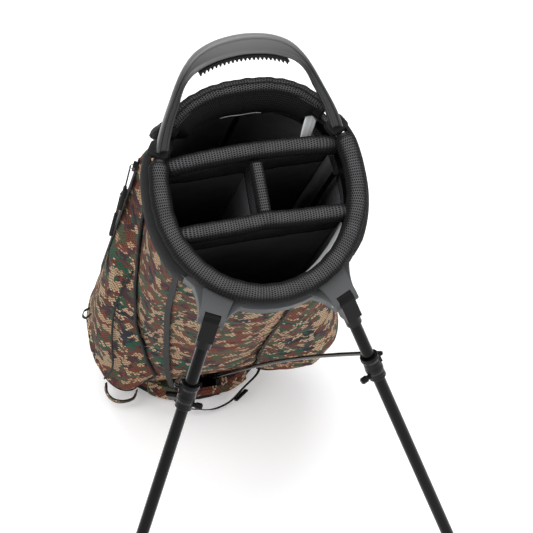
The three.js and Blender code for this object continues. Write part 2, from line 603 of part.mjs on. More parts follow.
for (const side of [-1, 1]) {
  const label = side < 0 ? 'left' : 'right';
  const leg = legGroup(side);
  const knuckleRound = bar(v3(-KNUCKLE_W / 2, 0, 0), v3(KNUCKLE_W / 2, 0, 0), KNUCKLE_R, 24);
  const knuckleBlock = box(-KNUCKLE_W / 2, KNUCKLE_W / 2, -KNUCKLE_R, KNUCKLE_R, -27, 0);
  const socket = bar(v3(0, 0, -20), v3(0, 0, -38), 9.4, 20);
  const socketBore = bar(v3(0, 0, -14), v3(0, 0, -60), TUBE_R + GAP, 20);
  const pinBore = bar(v3(-20, 0, 0), v3(20, 0, 0), 2.9, 16);
  const knuckle = cut(join(knuckleRound, knuckleBlock, socket), socketBore, pinBore);
  add(leg, `leg_${label}_knuckle`, knuckle, 'plastic');

  const tubeOut = bar(v3(0, 0, -14.6), v3(0, 0, -(LEG_LENGTH - 12)), TUBE_R, 20);
  const tubeBore = bar(v3(0, 0, 0), v3(0, 0, -LEG_LENGTH), TUBE_R - 1, 12);
  add(leg, `leg_${label}_tube`, cut(tubeOut, tubeBore), 'gloss');

  const [top, end] = ROD_CLAMP;
  const ribs = [
    [0, -top], [11, -top], [11.5, -top - 4], [10, -top - 8], [10.5, -top - 15], [11, -top - 18],
    [11, -top - 22], [10, -top - 25], [10.5, -end + 1], [9.5, -end], [0, -end],
  ];
  const boss = box(6, 11.3, -6, 6, -(ROD_DOWN_LEG + 6), -(ROD_DOWN_LEG - 6));
  const clampBore = bar(v3(0, 0, 0), v3(0, 0, -200), TUBE_R + GAP, 20);
  const hookBore = bar(v3(8.2, 0, -ROD_DOWN_LEG), v3(30, 0, -ROD_DOWN_LEG), 4.6, 16);
  const pegBore = bar(v3(-30, 0, -(end - 7)), v3(-8.6, 0, -(end - 7)), 3.3, 12);
  const clamp = cut(join(lathe(ribs, 20), boss), clampBore, hookBore, pegBore);
  add(leg, `leg_${label}_rod_clamp`, clamp, 'plastic');

  const peg = lathe([[0, 0], [3, 0], [3, 4], [4.2, 4.5], [4.2, 11], [3, 12.5], [0, 12.5]], 14);
  peg.rotateY(-Math.PI / 2).translate(-8.9, 0, -(end - 7));
  add(leg, `leg_${label}_clamp_peg`, peg, 'plastic');

  const tip = LEG_LENGTH;
  const footProfile = [
    [0, -tip - 12], [9, -tip - 11], [13.2, -tip - 3], [13.2, -tip + 10], [10.5, -tip + 26], [8.6, -tip + 34],
    [0, -tip + 34],
  ];
  const footBore = bar(v3(0, 0, -(tip - 11.7)), v3(0, 0, -(tip - 60)), TUBE_R + GAP, 20);
  leg.updateWorldMatrix(true, false);
  const floor = box(-900, 900, -1500, 900, -400, 0).applyMatrix4(leg.matrixWorld.clone().invert());
  add(leg, `leg_${label}_foot`, cut(lathe(footProfile, 20), footBore, floor), 'rubber');

  // Push rod of spring wire from the clamp down to the saddle on the foot.
  const rodGroup = new THREE.Group();
  bag.add(rodGroup);
  const x = legAxis(side);
  if (x.x * side < 0) x.negate();
  const hook = pivotOf(side).addScaledVector(legDown(side), ROD_DOWN_LEG);
  const top0 = hook.clone().addScaledVector(x, ROD_OUT);
  const low = at(side * ROD_LOW[0], ROD_LOW[1], ROD_LOW[2]);
  const run = low.clone().sub(top0);
  const bow = (t) => v3(0, 1, 0).multiplyScalar(9 * Math.sin(Math.PI * t));
  const route = [hook.clone().addScaledVector(x, 8.9), hook.clone().addScaledVector(x, 12)];
  route.push(top0.clone().addScaledVector(x, -0.8).addScaledVector(run, 0.0012));
  for (const t of [0.004, 0.01, 0.1, 0.2, 0.3, 0.4, 0.5, 0.6, 0.7, 0.8, 0.9, 1]) {
    route.push(top0.clone().addScaledVector(run, t).add(bow(t)));
  }
  add(rodGroup, `push_rod_${label}`, sweep(route, disc(ROD_R, 10)), 'gloss');
}

// Pockets: sections of [across, out] points, front to back, closed against the bag's side.
function pocketSection(up, outer, side, samples) {
  const radiusAt = (turn) => bagRadius(turn, up);
  const line = curve(outer.map(([x, out]) => v3(x, out, 0)), samples);
  const turns = line.map((p) => Math.atan2(p.y, p.x * side));
  const first = turns[0];
  const last = turns[turns.length - 1];
  const skin = line.map((p, i) => {
    const radius = Math.max(Math.hypot(p.x, p.y), radiusAt(turns[i]) + 4);
    return v3(side * radius * Math.cos(turns[i]), -radius * Math.sin(turns[i]), up);
  });
  const back = Array.from({ length: 13 }, (_, i) => {
    const turn = lerp(last, first, i / 12);
    const radius = radiusAt(turn) + 1.3;
    return v3(side * radius * Math.cos(turn), -radius * Math.sin(turn), up);
  });
  return [...skin, ...back];
}

const apparelSections = [
  [96, [
    [-80, 80], [-100, 92], [-120, 86], [-134, 64], [-139, 30], [-137, -5],
    [-128, -40], [-108, -66], [-84, -76],
  ]],
  [120, [
    [-76, 84], [-102, 92], [-124, 82], [-139, 60], [-143, 28], [-141, -8],
    [-131, -42], [-110, -68], [-84, -77],
  ]],
  [200, [
    [-68, 90], [-102, 86], [-129, 68], [-146, 44], [-149, 15], [-146, -15],
    [-136, -45], [-112, -70], [-84, -78],
  ]],
  [300, [
    [-88, 70], [-110, 62], [-126, 46], [-146, 30], [-152, 8], [-147, -20],
    [-136, -45], [-112, -72], [-84, -80],
  ]],
  [400, [
    [-104, 42], [-113, 38], [-119, 32], [-140, 18], [-150, -2], [-146, -25],
    [-134, -48], [-112, -74], [-84, -82],
  ]],
  [550, [
    [-112, 14], [-117, 6], [-122, -2], [-136, -14], [-142, -32], [-138, -48],
    [-129, -62], [-112, -80], [-86, -86],
  ]],
  [700, [
    [-115, -24], [-118, -32], [-121, -38], [-128, -50], [-130, -61], [-125, -72],
    [-116, -82], [-106, -90], [-90, -94],
  ]],
  [790, [
    [-113, -38], [-116, -44], [-118, -49], [-122, -58], [-123, -67], [-119, -76],
    [-112, -84], [-104, -90], [-94, -93],
  ]],
  [822, [
    [-113, -44], [-115, -48], [-116, -52], [-118, -58], [-118, -66], [-114, -75],
    [-109, -82], [-103, -88], [-96, -92],
  ]],
];
const pocketLoft = (sections, side) => {
  return loft(sections.map(([up, outer]) => pocketSection(up, outer, side, 16)));
};

// Straight zip track with its slider and pull; the track is let into the pocket.
const apparelZip = {
  from: at(-123, -70, 800), to: at(-145.5, -24, 450), face: v3(-0.9, 0.35, 0).normalize(),
};
const ballZip = { from: at(137, 10, 446), to: at(159.5, 10, 334), face: v3(0.98, 0, 0.2).normalize() };
const zipLine = (zip, extra, width, thickness) => {
  const along = zip.to.clone().sub(zip.from).normalize();
  const start = zip.from.clone().addScaledVector(along, -extra);
  const points = [start, zip.to.clone().addScaledVector(along, extra)];
  const [below, above] = thickness;
  const section = [[-width / 2, -below], [width / 2, -below], [width / 2, above], [-width / 2, above]];
  return sweep(points, section, () => zip.face);
};
const apparelSkin = cut(pocketLoft(apparelSections, -1), zipLine(apparelZip, 5.5, 15, [3, 30]));
add(bag, 'apparel_pocket', apparelSkin, 'camo');
add(bag, 'apparel_zip_track', zipLine(apparelZip, 5, 14, [2.4, -0.4]), 'black_fabric');

const ballSections = [
  [125, [
    [74, 88], [98, 98], [128, 101], [150, 97], [166, 84], [171, 58], [168, 18], [144, -30], [106, -62],
  ]],
  [190, [
    [66, 93], [94, 101], [128, 106], [154, 102], [170, 88], [177, 58], [173, 18], [148, -32], [107, -60],
  ]],
  [262, [
    [60, 96], [88, 104], [126, 109], [155, 105], [170, 90], [176, 56], [171, 14], [146, -34], [108, -58],
  ]],
  [330, [
    [50, 103], [82, 107], [118, 108], [145, 104], [160, 88], [165, 50], [160, 10], [138, -32], [106, -56],
  ]],
  [450, [
    [42, 108], [72, 111], [96, 99], [118, 97], [133, 88], [139, 56], [136, 14], [122, -22], [105, -48],
  ]],
  [600, [
    [38, 111], [66, 115], [96, 93], [104, 86], [114, 72], [119, 44], [118, 12], [113, -16], [106, -38],
  ]],
  [740, [
    [36, 115], [62, 106], [82, 89], [95, 76], [105, 58], [113, 38], [117, 14], [115, -10], [110, -30],
  ]],
];
const ballSkin = cut(pocketLoft(ballSections, 1), zipLine(ballZip, 5.5, 15, [3, 30]));
add(bag, 'ball_pocket', ballSkin, 'camo');
add(bag, 'ball_zip_track', zipLine(ballZip, 5, 14, [2.4, -0.4]), 'black_fabric');

function zipSlider(zip, distance, label, hang) {
  const along = zip.to.clone().sub(zip.from).normalize();
  const seat = zip.from.clone().addScaledVector(along, distance).addScaledVector(zip.face, 2.4);
  const ends = [seat.clone().addScaledVector(along, -6), seat.clone().addScaledVector(along, 6)];
  add(bag, `${label}_slider`, sweep(ends, roundedBox(9, 4, 1.2), () => zip.face), 'plastic');
  const start = seat.clone().addScaledVector(zip.face, 3.6);
  const points = [0, 0.3, 0.62, 0.7, 0.98, 1].map((t) => start.clone().addScaledVector(hang, t));
  const widths = [0.32, 0.32, 0.34, 1, 1.1, 0.9];
  const widthAt = (t) => widths[Math.round(t * 5)];
  add(bag, `${label}_pull`, sweep(points, roundedBox(7, 4, 1.5), () => zip.face, widthAt), 'rubber');
}
const zipHang = (zip, length, lift) => zip.to.clone().sub(zip.from).normalize().multiplyScalar(length)
  .addScaledVector(zip.face, lift);
zipSlider(apparelZip, 6, 'apparel_zip_upper', zipHang(apparelZip, 62, 8));
zipSlider(apparelZip, 96, 'apparel_zip_lower', zipHang(apparelZip, 62, 8));
zipSlider(ballZip, 5, 'ball_zip', zipHang(ballZip, 52, 7));

// Camouflage grab loop under the apparel pocket and a small webbing loop on its outer side.
function ribbon(points, width, thickness, face, steps) {
  const [w, t] = [width / 2, thickness / 2];
  return sweep(curve(points, steps), [[-w, -t], [w, -t], [w, t], [-w, t]], face);
}
const loopCentre = at(-100, 84, 96);
const awayFrom = (centre) => (p) => p.clone().sub(centre).setZ(0);
const loopPoints = [
  at(-136.5, 74, 100), at(-137, 88, 99), at(-130, 104, 98),
  at(-112, 113, 98), at(-92, 109, 98), at(-84, 97, 99),
];
add(bag, 'bottom_grab_loop', ribbon(loopPoints, 18, 3, awayFrom(loopCentre), 14), 'camo');
const sideLoop = [[-151.8, 4], [-158, 8], [-161.5, 4], [-158, -2], [-151.8, -4]]
  .map(([x, out]) => at(x, out, 262));
add(bag, 'side_webbing_loop', ribbon(sideLoop, 14, 1.2, awayFrom(at(-155, 2, 262)), 12), 'black_fabric');

// Webbing down the left of the leg side, its keeper, buckle, lower strap and strap adjuster.
const surface = (angle, up, stand) => {
  const turn = Math.PI - deg(angle);
  const radius = bagRadius(turn, up) + stand;
  return at(radius * Math.cos(turn), Math.min(radius * Math.sin(turn), frontLimit(up) + 12 + stand), up);
};
const strapRoute = [
  [22, 836], [31.5, 800], [35.5, 720], [39, 600], [47.5, 440], [56, 290], [63, 200], [67.5, 150],
].map(([angle, up]) => surface(angle, up, 2.6));
add(bag, 'side_strap', ribbon(strapRoute, 19, 1.5, outward, 40), 'black_fabric');
const keeperPoints = [surface(14, 844, 6.2), surface(20, 838, 6.6), surface(26, 826, 6.2)];
add(bag, 'side_strap_keeper', ribbon(keeperPoints, 26, 4, outward, 6), 'plastic');
const buckleLine = [at(-45, 110.5, 140), at(-40, 113, 118)];
const buckle = sweep(buckleLine, roundedBox(20, 7, 2.5), () => v3(-0.35, -0.94, 0));
add(bag, 'side_strap_buckle', buckle, 'plastic');
const lowRoute = [
  at(-39, 114, 112), at(-34, 123, 114), at(-24, 130.5, 119), at(-8, 134.5, 116), at(14, 135, 103),
  at(38, 128, 102), at(60, 112, 106), at(80, 97.5, 110), at(88, 85, 112),
];
const lowOut = (p) => v3(p.x * 0.5, p.y, 0).normalize().add(v3(0, 0, -0.25));
add(bag, 'lower_strap', ribbon(lowRoute, 10, 1.4, lowOut, 30), 'black_fabric');
const lockAt = at(53, 122.6, 105.5);
const lockEnds = [lockAt.clone().add(v3(-8, -5.4, 0)), lockAt.clone().add(v3(10, 6.6, 0))];
add(bag, 'strap_adjuster', sweep(lockEnds, roundedBox(14, 3.4, 1.2), lowOut), 'plastic');

// Carry side: hip pad and a padded shoulder strap from the collar to the lower back.
const hipRings = [[250, 0.55], [262, 0.86], [300, 1], [380, 1], [420, 0.86], [434, 0.5]].map(([up, k]) => {
  const half = deg(40 * k);
  const line = (stand, from, to, count) => Array.from({ length: count }, (_, i) => {
    const turn = -Math.PI / 2 + lerp(from, to, i / (count - 1));
    const edge = 1 - Math.abs(lerp(from, to, i / (count - 1)) / half) ** 4;
    const radius = bagRadius(turn, up) + 2.4 + stand * Math.max(edge, 0.12);
    return v3(radius * Math.cos(turn), -radius * Math.sin(turn), up);
  });
  return [...line(16 * k, -half, half, 11), ...line(0, half, -half, 11)];
});
add(bag, 'hip_pad', loft(hipRings), 'mesh');
const strapPoints = [
  at(-98, -98, 842), at(-100, -112, 815), at(-92, -132, 740), at(-74, -153, 640), at(-50, -163, 540),
  at(-24, -158, 470), at(-4, -146, 446),
];
const padWidth = (t) => 0.62 + 0.38 * smooth(t, 0.08, 0.3) * (1 - smooth(t, 0.8, 1));
const strapFace = (p) => v3(p.x * 0.4, p.y, 0);
add(bag, 'shoulder_strap', sweep(curve(strapPoints, 26), roundedBox(58, 12, 5), strapFace, padWidth), 'mesh');
add(bag, 'rim_care_label', box(70, 82, 64.4, 65.2, 838, 870), 'label');

export default part;
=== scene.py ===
"""Golf stand bag: the looks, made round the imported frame."""

import json
import math

import bpy
import numpy as np
from mathutils import Matrix, Vector, noise


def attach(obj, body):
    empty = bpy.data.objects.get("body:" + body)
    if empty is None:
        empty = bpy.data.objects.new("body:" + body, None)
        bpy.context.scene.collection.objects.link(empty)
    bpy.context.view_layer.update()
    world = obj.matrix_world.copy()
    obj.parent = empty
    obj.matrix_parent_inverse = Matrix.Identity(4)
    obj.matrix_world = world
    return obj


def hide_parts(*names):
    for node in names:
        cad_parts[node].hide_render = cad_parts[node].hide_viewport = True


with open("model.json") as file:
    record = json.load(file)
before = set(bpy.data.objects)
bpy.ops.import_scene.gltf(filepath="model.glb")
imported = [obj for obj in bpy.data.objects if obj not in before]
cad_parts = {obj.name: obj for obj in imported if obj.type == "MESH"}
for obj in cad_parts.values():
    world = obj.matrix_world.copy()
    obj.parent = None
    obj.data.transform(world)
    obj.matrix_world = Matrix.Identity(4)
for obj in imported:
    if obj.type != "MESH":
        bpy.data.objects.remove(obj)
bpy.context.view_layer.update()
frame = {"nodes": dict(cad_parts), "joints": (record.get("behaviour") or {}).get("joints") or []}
nodes = frame["nodes"]

# The bag's own frame, in millimetres: across (+X), out (towards the legs) and up the leaning axis.
MM = 0.001
LEAN = math.radians(next(j for j in frame["joints"] if j["name"] == "bag_tilt")["range_deg"][1])
AXIS_Y = 96.2  # where the axis meets the floor
BASE_R = 114.5
SHELL_R = 111.8
SHELL_TOP = (113, 119)
SHELL_BASE = 58
ROUND_TO = 60  # up to here the tube is round
SHELL_END = 873
RIM = (113.6, 120.9)
RIM_UP = 886
RIM_R = 12
PRESSED_OUT = 84  # the fabric is pressed in behind the push rods
PRESSED_UNTIL = 120
PRESSED_SLOPE = 0.132
PRESSED_MOST = 122
REAR_POWER = 2.5  # the oval is squarer on the carry side
DIVIDER_REAR = -44
DIVIDER_FRONT = 38
CLOTH_LOW, CLOTH_TOP = 66, 873  # where the divider cloths end
CLOTH_SHARE = 0.905  # the rest of their height is mesh

SIN, COS = math.sin(LEAN), math.cos(LEAN)


def to_row(points):
    """Bag points (across, out, up) in millimetres, as row-frame points in metres."""
    p = np.asarray(points, float)
    x, out, up = p[..., 0], p[..., 1], p[..., 2]
    return np.stack([x, AXIS_Y - out * COS - up * SIN, up * COS - out * SIN], -1) * MM


# ---------------------------------------------------------------- shader helpers
def srgb(red, green, blue):
    """A colour given as 0 to 255, as a linear RGBA value."""
    def linear(v):
        v /= 255
        return v / 12.92 if v <= 0.04045 else ((v + 0.055) / 1.055) ** 2.4
    return (linear(red), linear(green), linear(blue), 1.0)


class Shade:
    """A node material under construction."""

    def __init__(self, name, **sockets):
        self.material = bpy.data.materials.new(name)
        self.material.use_nodes = True
        self.tree = self.material.node_tree
        self.shader = self.tree.nodes["Principled BSDF"]
        for socket, value in sockets.items():
            self.shader.inputs[socket.replace("_", " ")].default_value = value

    def node(self, kind, inputs=(), **settings):
        made = self.tree.nodes.new("ShaderNode" + kind)
        for key, value in settings.items():
            setattr(made, key, value)
        pairs = inputs.items() if isinstance(inputs, dict) else enumerate(inputs)
        for key, value in pairs:
            if isinstance(value, bpy.types.NodeSocket):
                self.tree.links.new(value, made.inputs[key])
            elif value is not None:
                made.inputs[key].default_value = value
        return made

    def math(self, operation, *inputs):
        return self.node("Math", inputs, operation=operation).outputs[0]

    def vector(self, operation, *inputs):
        return self.node("VectorMath", inputs, operation=operation).outputs[0]

    def scaled(self, vector, factor):
        return self.node("VectorMath", {0: vector, 3: factor}, operation="SCALE").outputs[0]

    def length(self, vector):
        return self.node("VectorMath", [vector], operation="LENGTH").outputs["Value"]

    def mix(self, factor, low, high):
        return self.node("Mix", {0: factor, 6: low, 7: high}, data_type="RGBA").outputs[2]

    def noise(self, vector, scale, detail=2.0, roughness=0.5):
        values = {"Vector": vector, "Scale": scale, "Detail": detail, "Roughness": roughness}
        return self.node("TexNoise", values).outputs[0]

    def ease(self, value, low, high, to_low=0.0, to_high=1.0):
        inputs = [value, low, high, to_low, to_high]
        return self.node("MapRange", inputs, interpolation_type="SMOOTHSTEP").outputs[0]

    def over(self, value, limit):
        return self.math("GREATER_THAN", value, limit)

    def place(self):
        """Where a point of a carried-over solid is, in metres."""
        return self.node("TexCoord").outputs["Object"]

    def uv(self):
        """Across and along the cloth, in metres."""
        return self.node("UVMap").outputs[0]

    def paint(self, colour):
        self.tree.links.new(colour, self.shader.inputs["Base Color"])

    def rough(self, value):
        self.tree.links.new(value, self.shader.inputs["Roughness"])

    def bump(self, height, distance, strength=1.0):
        made = self.node("Bump", {"Height": height, "Distance": distance, "Strength": strength})
        self.tree.links.new(made.outputs[0], self.shader.inputs["Normal"])

    def cells(self, vector, pitch):
        """The centre of the hexagon a point is in, counted in cells, and the distance from it."""
        step = (1, math.sqrt(3), 1)
        half = (0.5, math.sqrt(3) / 2, 0)
        p = self.scaled(vector, 1 / pitch)
        first = self.vector("SNAP", self.vector("ADD", p, half), step)
        second = self.vector("ADD", self.vector("SNAP", p, step), half)
        near_first = self.length(self.vector("SUBTRACT", p, first))
        near_second = self.length(self.vector("SUBTRACT", p, second))
        use_first = self.math("LESS_THAN", near_first, near_second)
        centre = self.node("Mix", {0: use_first, 4: second, 5: first}, data_type="VECTOR").outputs[1]
        return centre, self.math("MINIMUM", near_first, near_second)

    def weave(self, vector, pitch):
        """Height of a plain weave, from 0 to 1."""
        p = self.node("SeparateXYZ", [self.scaled(vector, math.pi / pitch)])
        across = self.math("SINE", p.outputs[0])
        along = self.math("SINE", p.outputs[1])
        return self.math("MULTIPLY_ADD", self.math("MULTIPLY", across, along), 0.5, 0.5)


# ---------------------------------------------------------------- materials
def camo_material(name="camo_cloth", pitch=4.4 * MM):
    """Patches of hexagonal cells in five colours, with darker gaps between the pale ones."""
    s = Shade(name, Roughness=0.9, Specular_IOR_Level=0.2)
    uv = s.uv()
    cell, near = s.cells(uv, pitch)

    def patches(shift, scale, detail=1.5):
        return s.noise(s.vector("MULTIPLY_ADD", cell, (1, 0.66, 1), shift), scale, detail, 0.6)

    ground = s.mix(s.over(patches((3, 9, 0), 0.22), 0.49), srgb(26, 80, 60), srgb(94, 54, 42))
    dark = s.mix(s.over(patches((40, 5, 2), 0.26), 0.555), ground, srgb(38, 38, 48))
    pale = s.over(patches((7, 60, 5), 0.29, 2.5), 0.545)
    tan = s.mix(s.noise(uv, 60.0, 2.0), srgb(166, 138, 106), srgb(204, 176, 142))
    shade = s.mix(pale, dark, tan)
    patch = s.ease(s.noise(uv, 7.0, 1.0), 0.35, 0.65, 0.0, 0.3)
    shade = s.mix(patch, shade, s.mix(0.5, shade, srgb(180, 84, 46)))
    gap = s.math("MULTIPLY", s.ease(near, 0.32, 0.47), s.math("MULTIPLY_ADD", pale, 0.35, 0.6))
    s.paint(s.mix(gap, shade, srgb(24, 22, 24)))
    s.bump(s.weave(uv, 0.55 * MM), 0.12 * MM, 0.6)
    return s.material


def mesh_material(name="spacer_mesh", pitch=2.3 * MM, thread=(88, 88, 89), low=0.1):
    """Spacer mesh: dark holes in a knit, with a painted highlight where it faces up the bag. low is the share
    of that painted highlight kept elsewhere.
    """
    s = Shade(name, Roughness=0.78, Specular_IOR_Level=0.14)
    uv = s.uv()
    _, near = s.cells(s.vector("MULTIPLY_ADD", uv, (1, 0.62, 1), (0, 0, 0)), pitch)
    knit = s.ease(near, 0.2, 0.46)
    soft = s.noise(uv, 40.0, 2.0)
    # Painted highlight: the threads are lighter where the normal faces up the bag, standing in for light from
    # above.
    normal = s.node("TexCoord").outputs["Normal"]
    facing = s.node("VectorMath", [normal, (0, -SIN, COS)], operation="DOT_PRODUCT").outputs["Value"]
    top = s.ease(facing, 0.66, 1.0, low, 1.0)
    light = s.mix(s.math("MULTIPLY", s.ease(soft, 0.2, 0.8, 0.7, 1.0), top), srgb(13, 13, 14), srgb(*thread))
    s.paint(s.mix(knit, srgb(4, 4, 5), light))
    s.bump(knit, 0.6 * MM, 1.0)
    return s.material


def grey(level, blue=None):
    return srgb(level, level, level if blue is None else blue)


def cloth_material(name="black_cloth", tone=20, pitch=0.9 * MM):
    """Plain-woven cloth of one dark tone."""
    s = Shade(name, Roughness=0.88, Specular_IOR_Level=0.22)
    uv = s.uv()
    weave = s.weave(uv, pitch)
    shade = s.mix(s.noise(uv, 30.0, 3.0), grey(tone * 0.6, tone * 0.62), grey(tone, tone * 1.04))
    s.paint(s.mix(s.math("MULTIPLY", weave, 0.5), shade, grey(tone * 1.9, tone * 1.95)))
    s.bump(weave, 0.2 * MM, 0.8)
    return s.material


def webbing_material(name="webbing", tone=20):
    """Flat webbing: ribs across the band, broken by its threads."""
    s = Shade(name, Roughness=0.75, Specular_IOR_Level=0.28)
    uv = s.uv()
    xy = s.node("SeparateXYZ", [uv])
    ribs = s.math("SINE", s.math("MULTIPLY", xy.outputs[1], math.tau / (1.5 * MM)))
    threads = s.math("SINE", s.math("MULTIPLY", xy.outputs[0], math.tau / (1.1 * MM)))
    height = s.math("MULTIPLY_ADD", s.math("MULTIPLY", ribs, threads), 0.5, 0.5)
    s.paint(s.mix(height, grey(tone * 0.5, tone * 0.52), grey(tone * 1.5, tone * 1.55)))
    s.bump(height, 0.25 * MM, 0.8)
    return s.material


def plastic_material(name, colour, roughness, grain=0.9 * MM, depth=0.05 * MM, spread=0.12, specular=0.2,
                     painted_top_highlight=0):
    """Moulded plastic: eroded grain and faint mottling, and a painted highlight turning it to the grey tone
    crown near the bag's top.
    """
    s = Shade(name, Roughness=roughness, Specular_IOR_Level=specular)
    place = s.place()
    fine = s.noise(place, 1 / grain, 3.0, 0.6)
    broad = s.noise(place, 14.0, 3.0)
    low, high = [tuple(c * k for c in colour[:3]) + (1.0,) for k in (1 - spread, 1 + spread)]
    shade = s.mix(broad, s.mix(fine, low, high), colour)
    if painted_top_highlight:
        # Painted highlight: lighter grey by height near the bag's top, standing in for light falling on the
        # top of the handle.
        height = s.node("SeparateXYZ", [place]).outputs[2]
        shade = s.mix(s.ease(height, 0.83, 0.885), shade, grey(painted_top_highlight))
    s.paint(shade)
    s.rough(s.ease(broad, 0.3, 0.7, roughness - 0.06, roughness + 0.08))
    s.bump(fine, depth, 0.7)
    return s.material


def gloss_material(name="gloss_tube"):
    """Polished black tube, drawn along its length."""
    s = Shade(name, Roughness=0.12, Specular_IOR_Level=0.12)
    place = s.place()
    streak = s.noise(s.vector("MULTIPLY", place, (220, 220, 14)), 1.0, 3.0)
    s.paint(s.mix(streak, srgb(3, 3, 4), srgb(9, 9, 10)))
    s.rough(s.ease(streak, 0.35, 0.75, 0.13, 0.26))
    s.bump(s.noise(place, 300.0, 1.0), 0.01 * MM, 0.4)
    return s.material


def steel_material(name="steel_wire"):
    """Drawn steel wire."""
    s = Shade(name, Metallic=1.0, Roughness=0.3)
    place = s.place()
    streak = s.noise(s.vector("MULTIPLY", place, (900, 60, 60)), 1.0, 2.0)
    s.paint(s.mix(streak, srgb(120, 120, 124), srgb(176, 176, 180)))
    s.rough(s.ease(streak, 0.3, 0.7, 0.24, 0.4))
    return s.material


def rubber_material(name="rubber", tone=16):
    """Black rubber with some dust on it."""
    s = Shade(name, Roughness=0.8, Specular_IOR_Level=0.3)
    place = s.place()
    speck = s.noise(place, 900.0, 2.0)
    dust = s.noise(place, 35.0, 4.0)
    dark = s.mix(speck, grey(tone * 0.7), grey(tone))
    s.paint(s.mix(s.ease(dust, 0.45, 0.8, 0, 0.6), dark, srgb(40, 39, 38)))
    s.bump(speck, 0.06 * MM, 0.8)
    return s.material


def label_material(name="care_tape"):
    """White woven tape."""
    s = Shade(name, Roughness=0.6, Sheen_Weight=0.3)
    uv = s.uv()
    weave = s.weave(uv, 0.7 * MM)
    stain = s.noise(uv, 25.0, 3.0)
    s.paint(s.mix(stain, srgb(214, 217, 218), srgb(238, 240, 240)))
    s.bump(weave, 0.08 * MM, 0.6)
    return s.material


CAMO = camo_material()
# Both meshes carry the painted highlight on faces turned up the bag.
MESH = mesh_material()
NET = mesh_material("net_mesh", 3 * MM, (104, 104, 108), 0.9)
CLOTH = cloth_material()
LINING = cloth_material("lining_cloth", 100, 1.1 * MM)
WEBBING = webbing_material()
BINDING = webbing_material("binding", 14)
BLACK = plastic_material("black_plastic", srgb(9, 9, 10), 0.34)
GREY = plastic_material("yoke_plastic", srgb(78, 79, 80), 0.6, 0.7 * MM, 0.05 * MM, 0.3)
# The handle gets a painted highlight on its top.
HANDLE = plastic_material("handle_plastic", srgb(40, 40, 41), 0.36, 0.6 * MM, 0.02 * MM, 0.06, 0.6, painted_top_highlight=104)
# Pale plastic: a painted highlight on the lip inside the front compartment.
HIGHLIGHT_LIP = plastic_material("lip_highlight_plastic", srgb(196, 197, 198), 0.5, 0.7 * MM, 0.03 * MM, 0.1)
RUBBER = rubber_material()
GLOSS = gloss_material()
STEEL = steel_material()
TAPE = label_material()

SLOTS = {
    CAMO: "camo_fabric", MESH: "air_mesh", NET: "air_mesh", CLOTH: "black_fabric", LINING: "black_fabric",
    WEBBING: "black_fabric", BINDING: "black_fabric", BLACK: "black_plastic", GREY: "grey_plastic",
    HANDLE: "handle_plastic", HIGHLIGHT_LIP: "grey_plastic", RUBBER: "black_rubber", STEEL: "steel",
    TAPE: "label_cloth",
}


# ---------------------------------------------------------------- mesh helpers
def piece(name, mesh, material, stands_for=(), body="bag", slot=None):
    """A visible piece that rides on a body and stands for CAD nodes. Its slot is looked up from the first
    material but not given to it.
    """
    obj = bpy.data.objects.new(name, mesh)
    bpy.context.scene.collection.objects.link(obj)
    materials = material if isinstance(material, list) else [material]
    for m in materials:
        mesh.materials.append(m)
    if body:
        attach(obj, body)
    if stands_for:
        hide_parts(*stands_for)
    slot = slot or SLOTS.get(materials[0])
    return obj


def solid(name, rows, material, *stands_for, **named):
    """A closed piece: rows of points wrapped round, with an end cap on each end."""
    return piece(name, grid(name, rows, wrap=True, caps=True), material, stands_for, **named)


def thicken(obj, thickness, offset=-1.0):
    """Gives a sheet its thickness in millimetres; with offset 0, half of it on each side."""
    thick = obj.modifiers.new("cloth", "SOLIDIFY")
    thick.thickness = thickness * MM
    thick.offset = offset
    return thick


def facing_out(mesh):
    """Turns the faces round if the volume about the middle comes out negative."""
    mesh.calc_loop_triangles()
    co = np.array([v.co for v in mesh.vertices])
    tri = np.array([t.vertices for t in mesh.loop_triangles])
    co = co - co.mean(0)
    a, b, c = co[tri[:, 0]], co[tri[:, 1]], co[tri[:, 2]]
    if np.einsum("ij,ij->i", a, np.cross(b, c)).sum() < 0:
        mesh.flip_normals()


def grid(name, points, wrap=False, caps=False, flat=None):
    """A quad mesh through rows of points, in bag millimetres. UVs are lengths along the flat rows."""
    rows, cols = points.shape[:2]
    flat = points if flat is None else flat
    ring = np.concatenate([flat, flat[:, :1]], 1) if wrap else flat
    steps = np.linalg.norm(np.diff(ring, axis=1), axis=2)
    across = np.concatenate([np.zeros((rows, 1)), np.cumsum(steps, 1)], 1)
    across -= across[:, [ring.shape[1] // 2]]
    rise = np.linalg.norm(np.diff(ring, axis=0), axis=2)
    if caps:
        across = across.mean(0) + 0 * across
        rise = rise.mean(1, keepdims=True) + 0 * rise
    along = np.concatenate([np.zeros((1, ring.shape[1])), np.cumsum(rise, 0)])
    uv = np.stack([across, along], -1) * MM
    count = cols if wrap else cols - 1
    index = np.arange(rows * cols).reshape(rows, cols)
    right = np.roll(index, -1, 1)
    corners = [index[:-1, :count], right[:-1, :count], right[1:, :count], index[1:, :count]]
    faces = np.stack(corners, -1).reshape(-1, 4).tolist()
    coords = np.stack([uv[:-1, :count], uv[:-1, 1:count + 1], uv[1:, 1:count + 1], uv[1:, :count]], 2)
    loops = coords.reshape(-1, 2)
    if caps:
        faces += [index[0, ::-1].tolist(), index[-1].tolist()]
        loops = np.concatenate([loops, uv[0, :cols][::-1], uv[-1, :cols]])
    mesh = bpy.data.meshes.new(name)
    mesh.from_pydata(to_row(points).reshape(-1, 3).tolist(), [], faces)
    mesh.uv_layers.new(name="UVMap").data.foreach_set("uv", loops.ravel())
    mesh.shade_smooth()
    if wrap:
        facing_out(mesh)
    return mesh


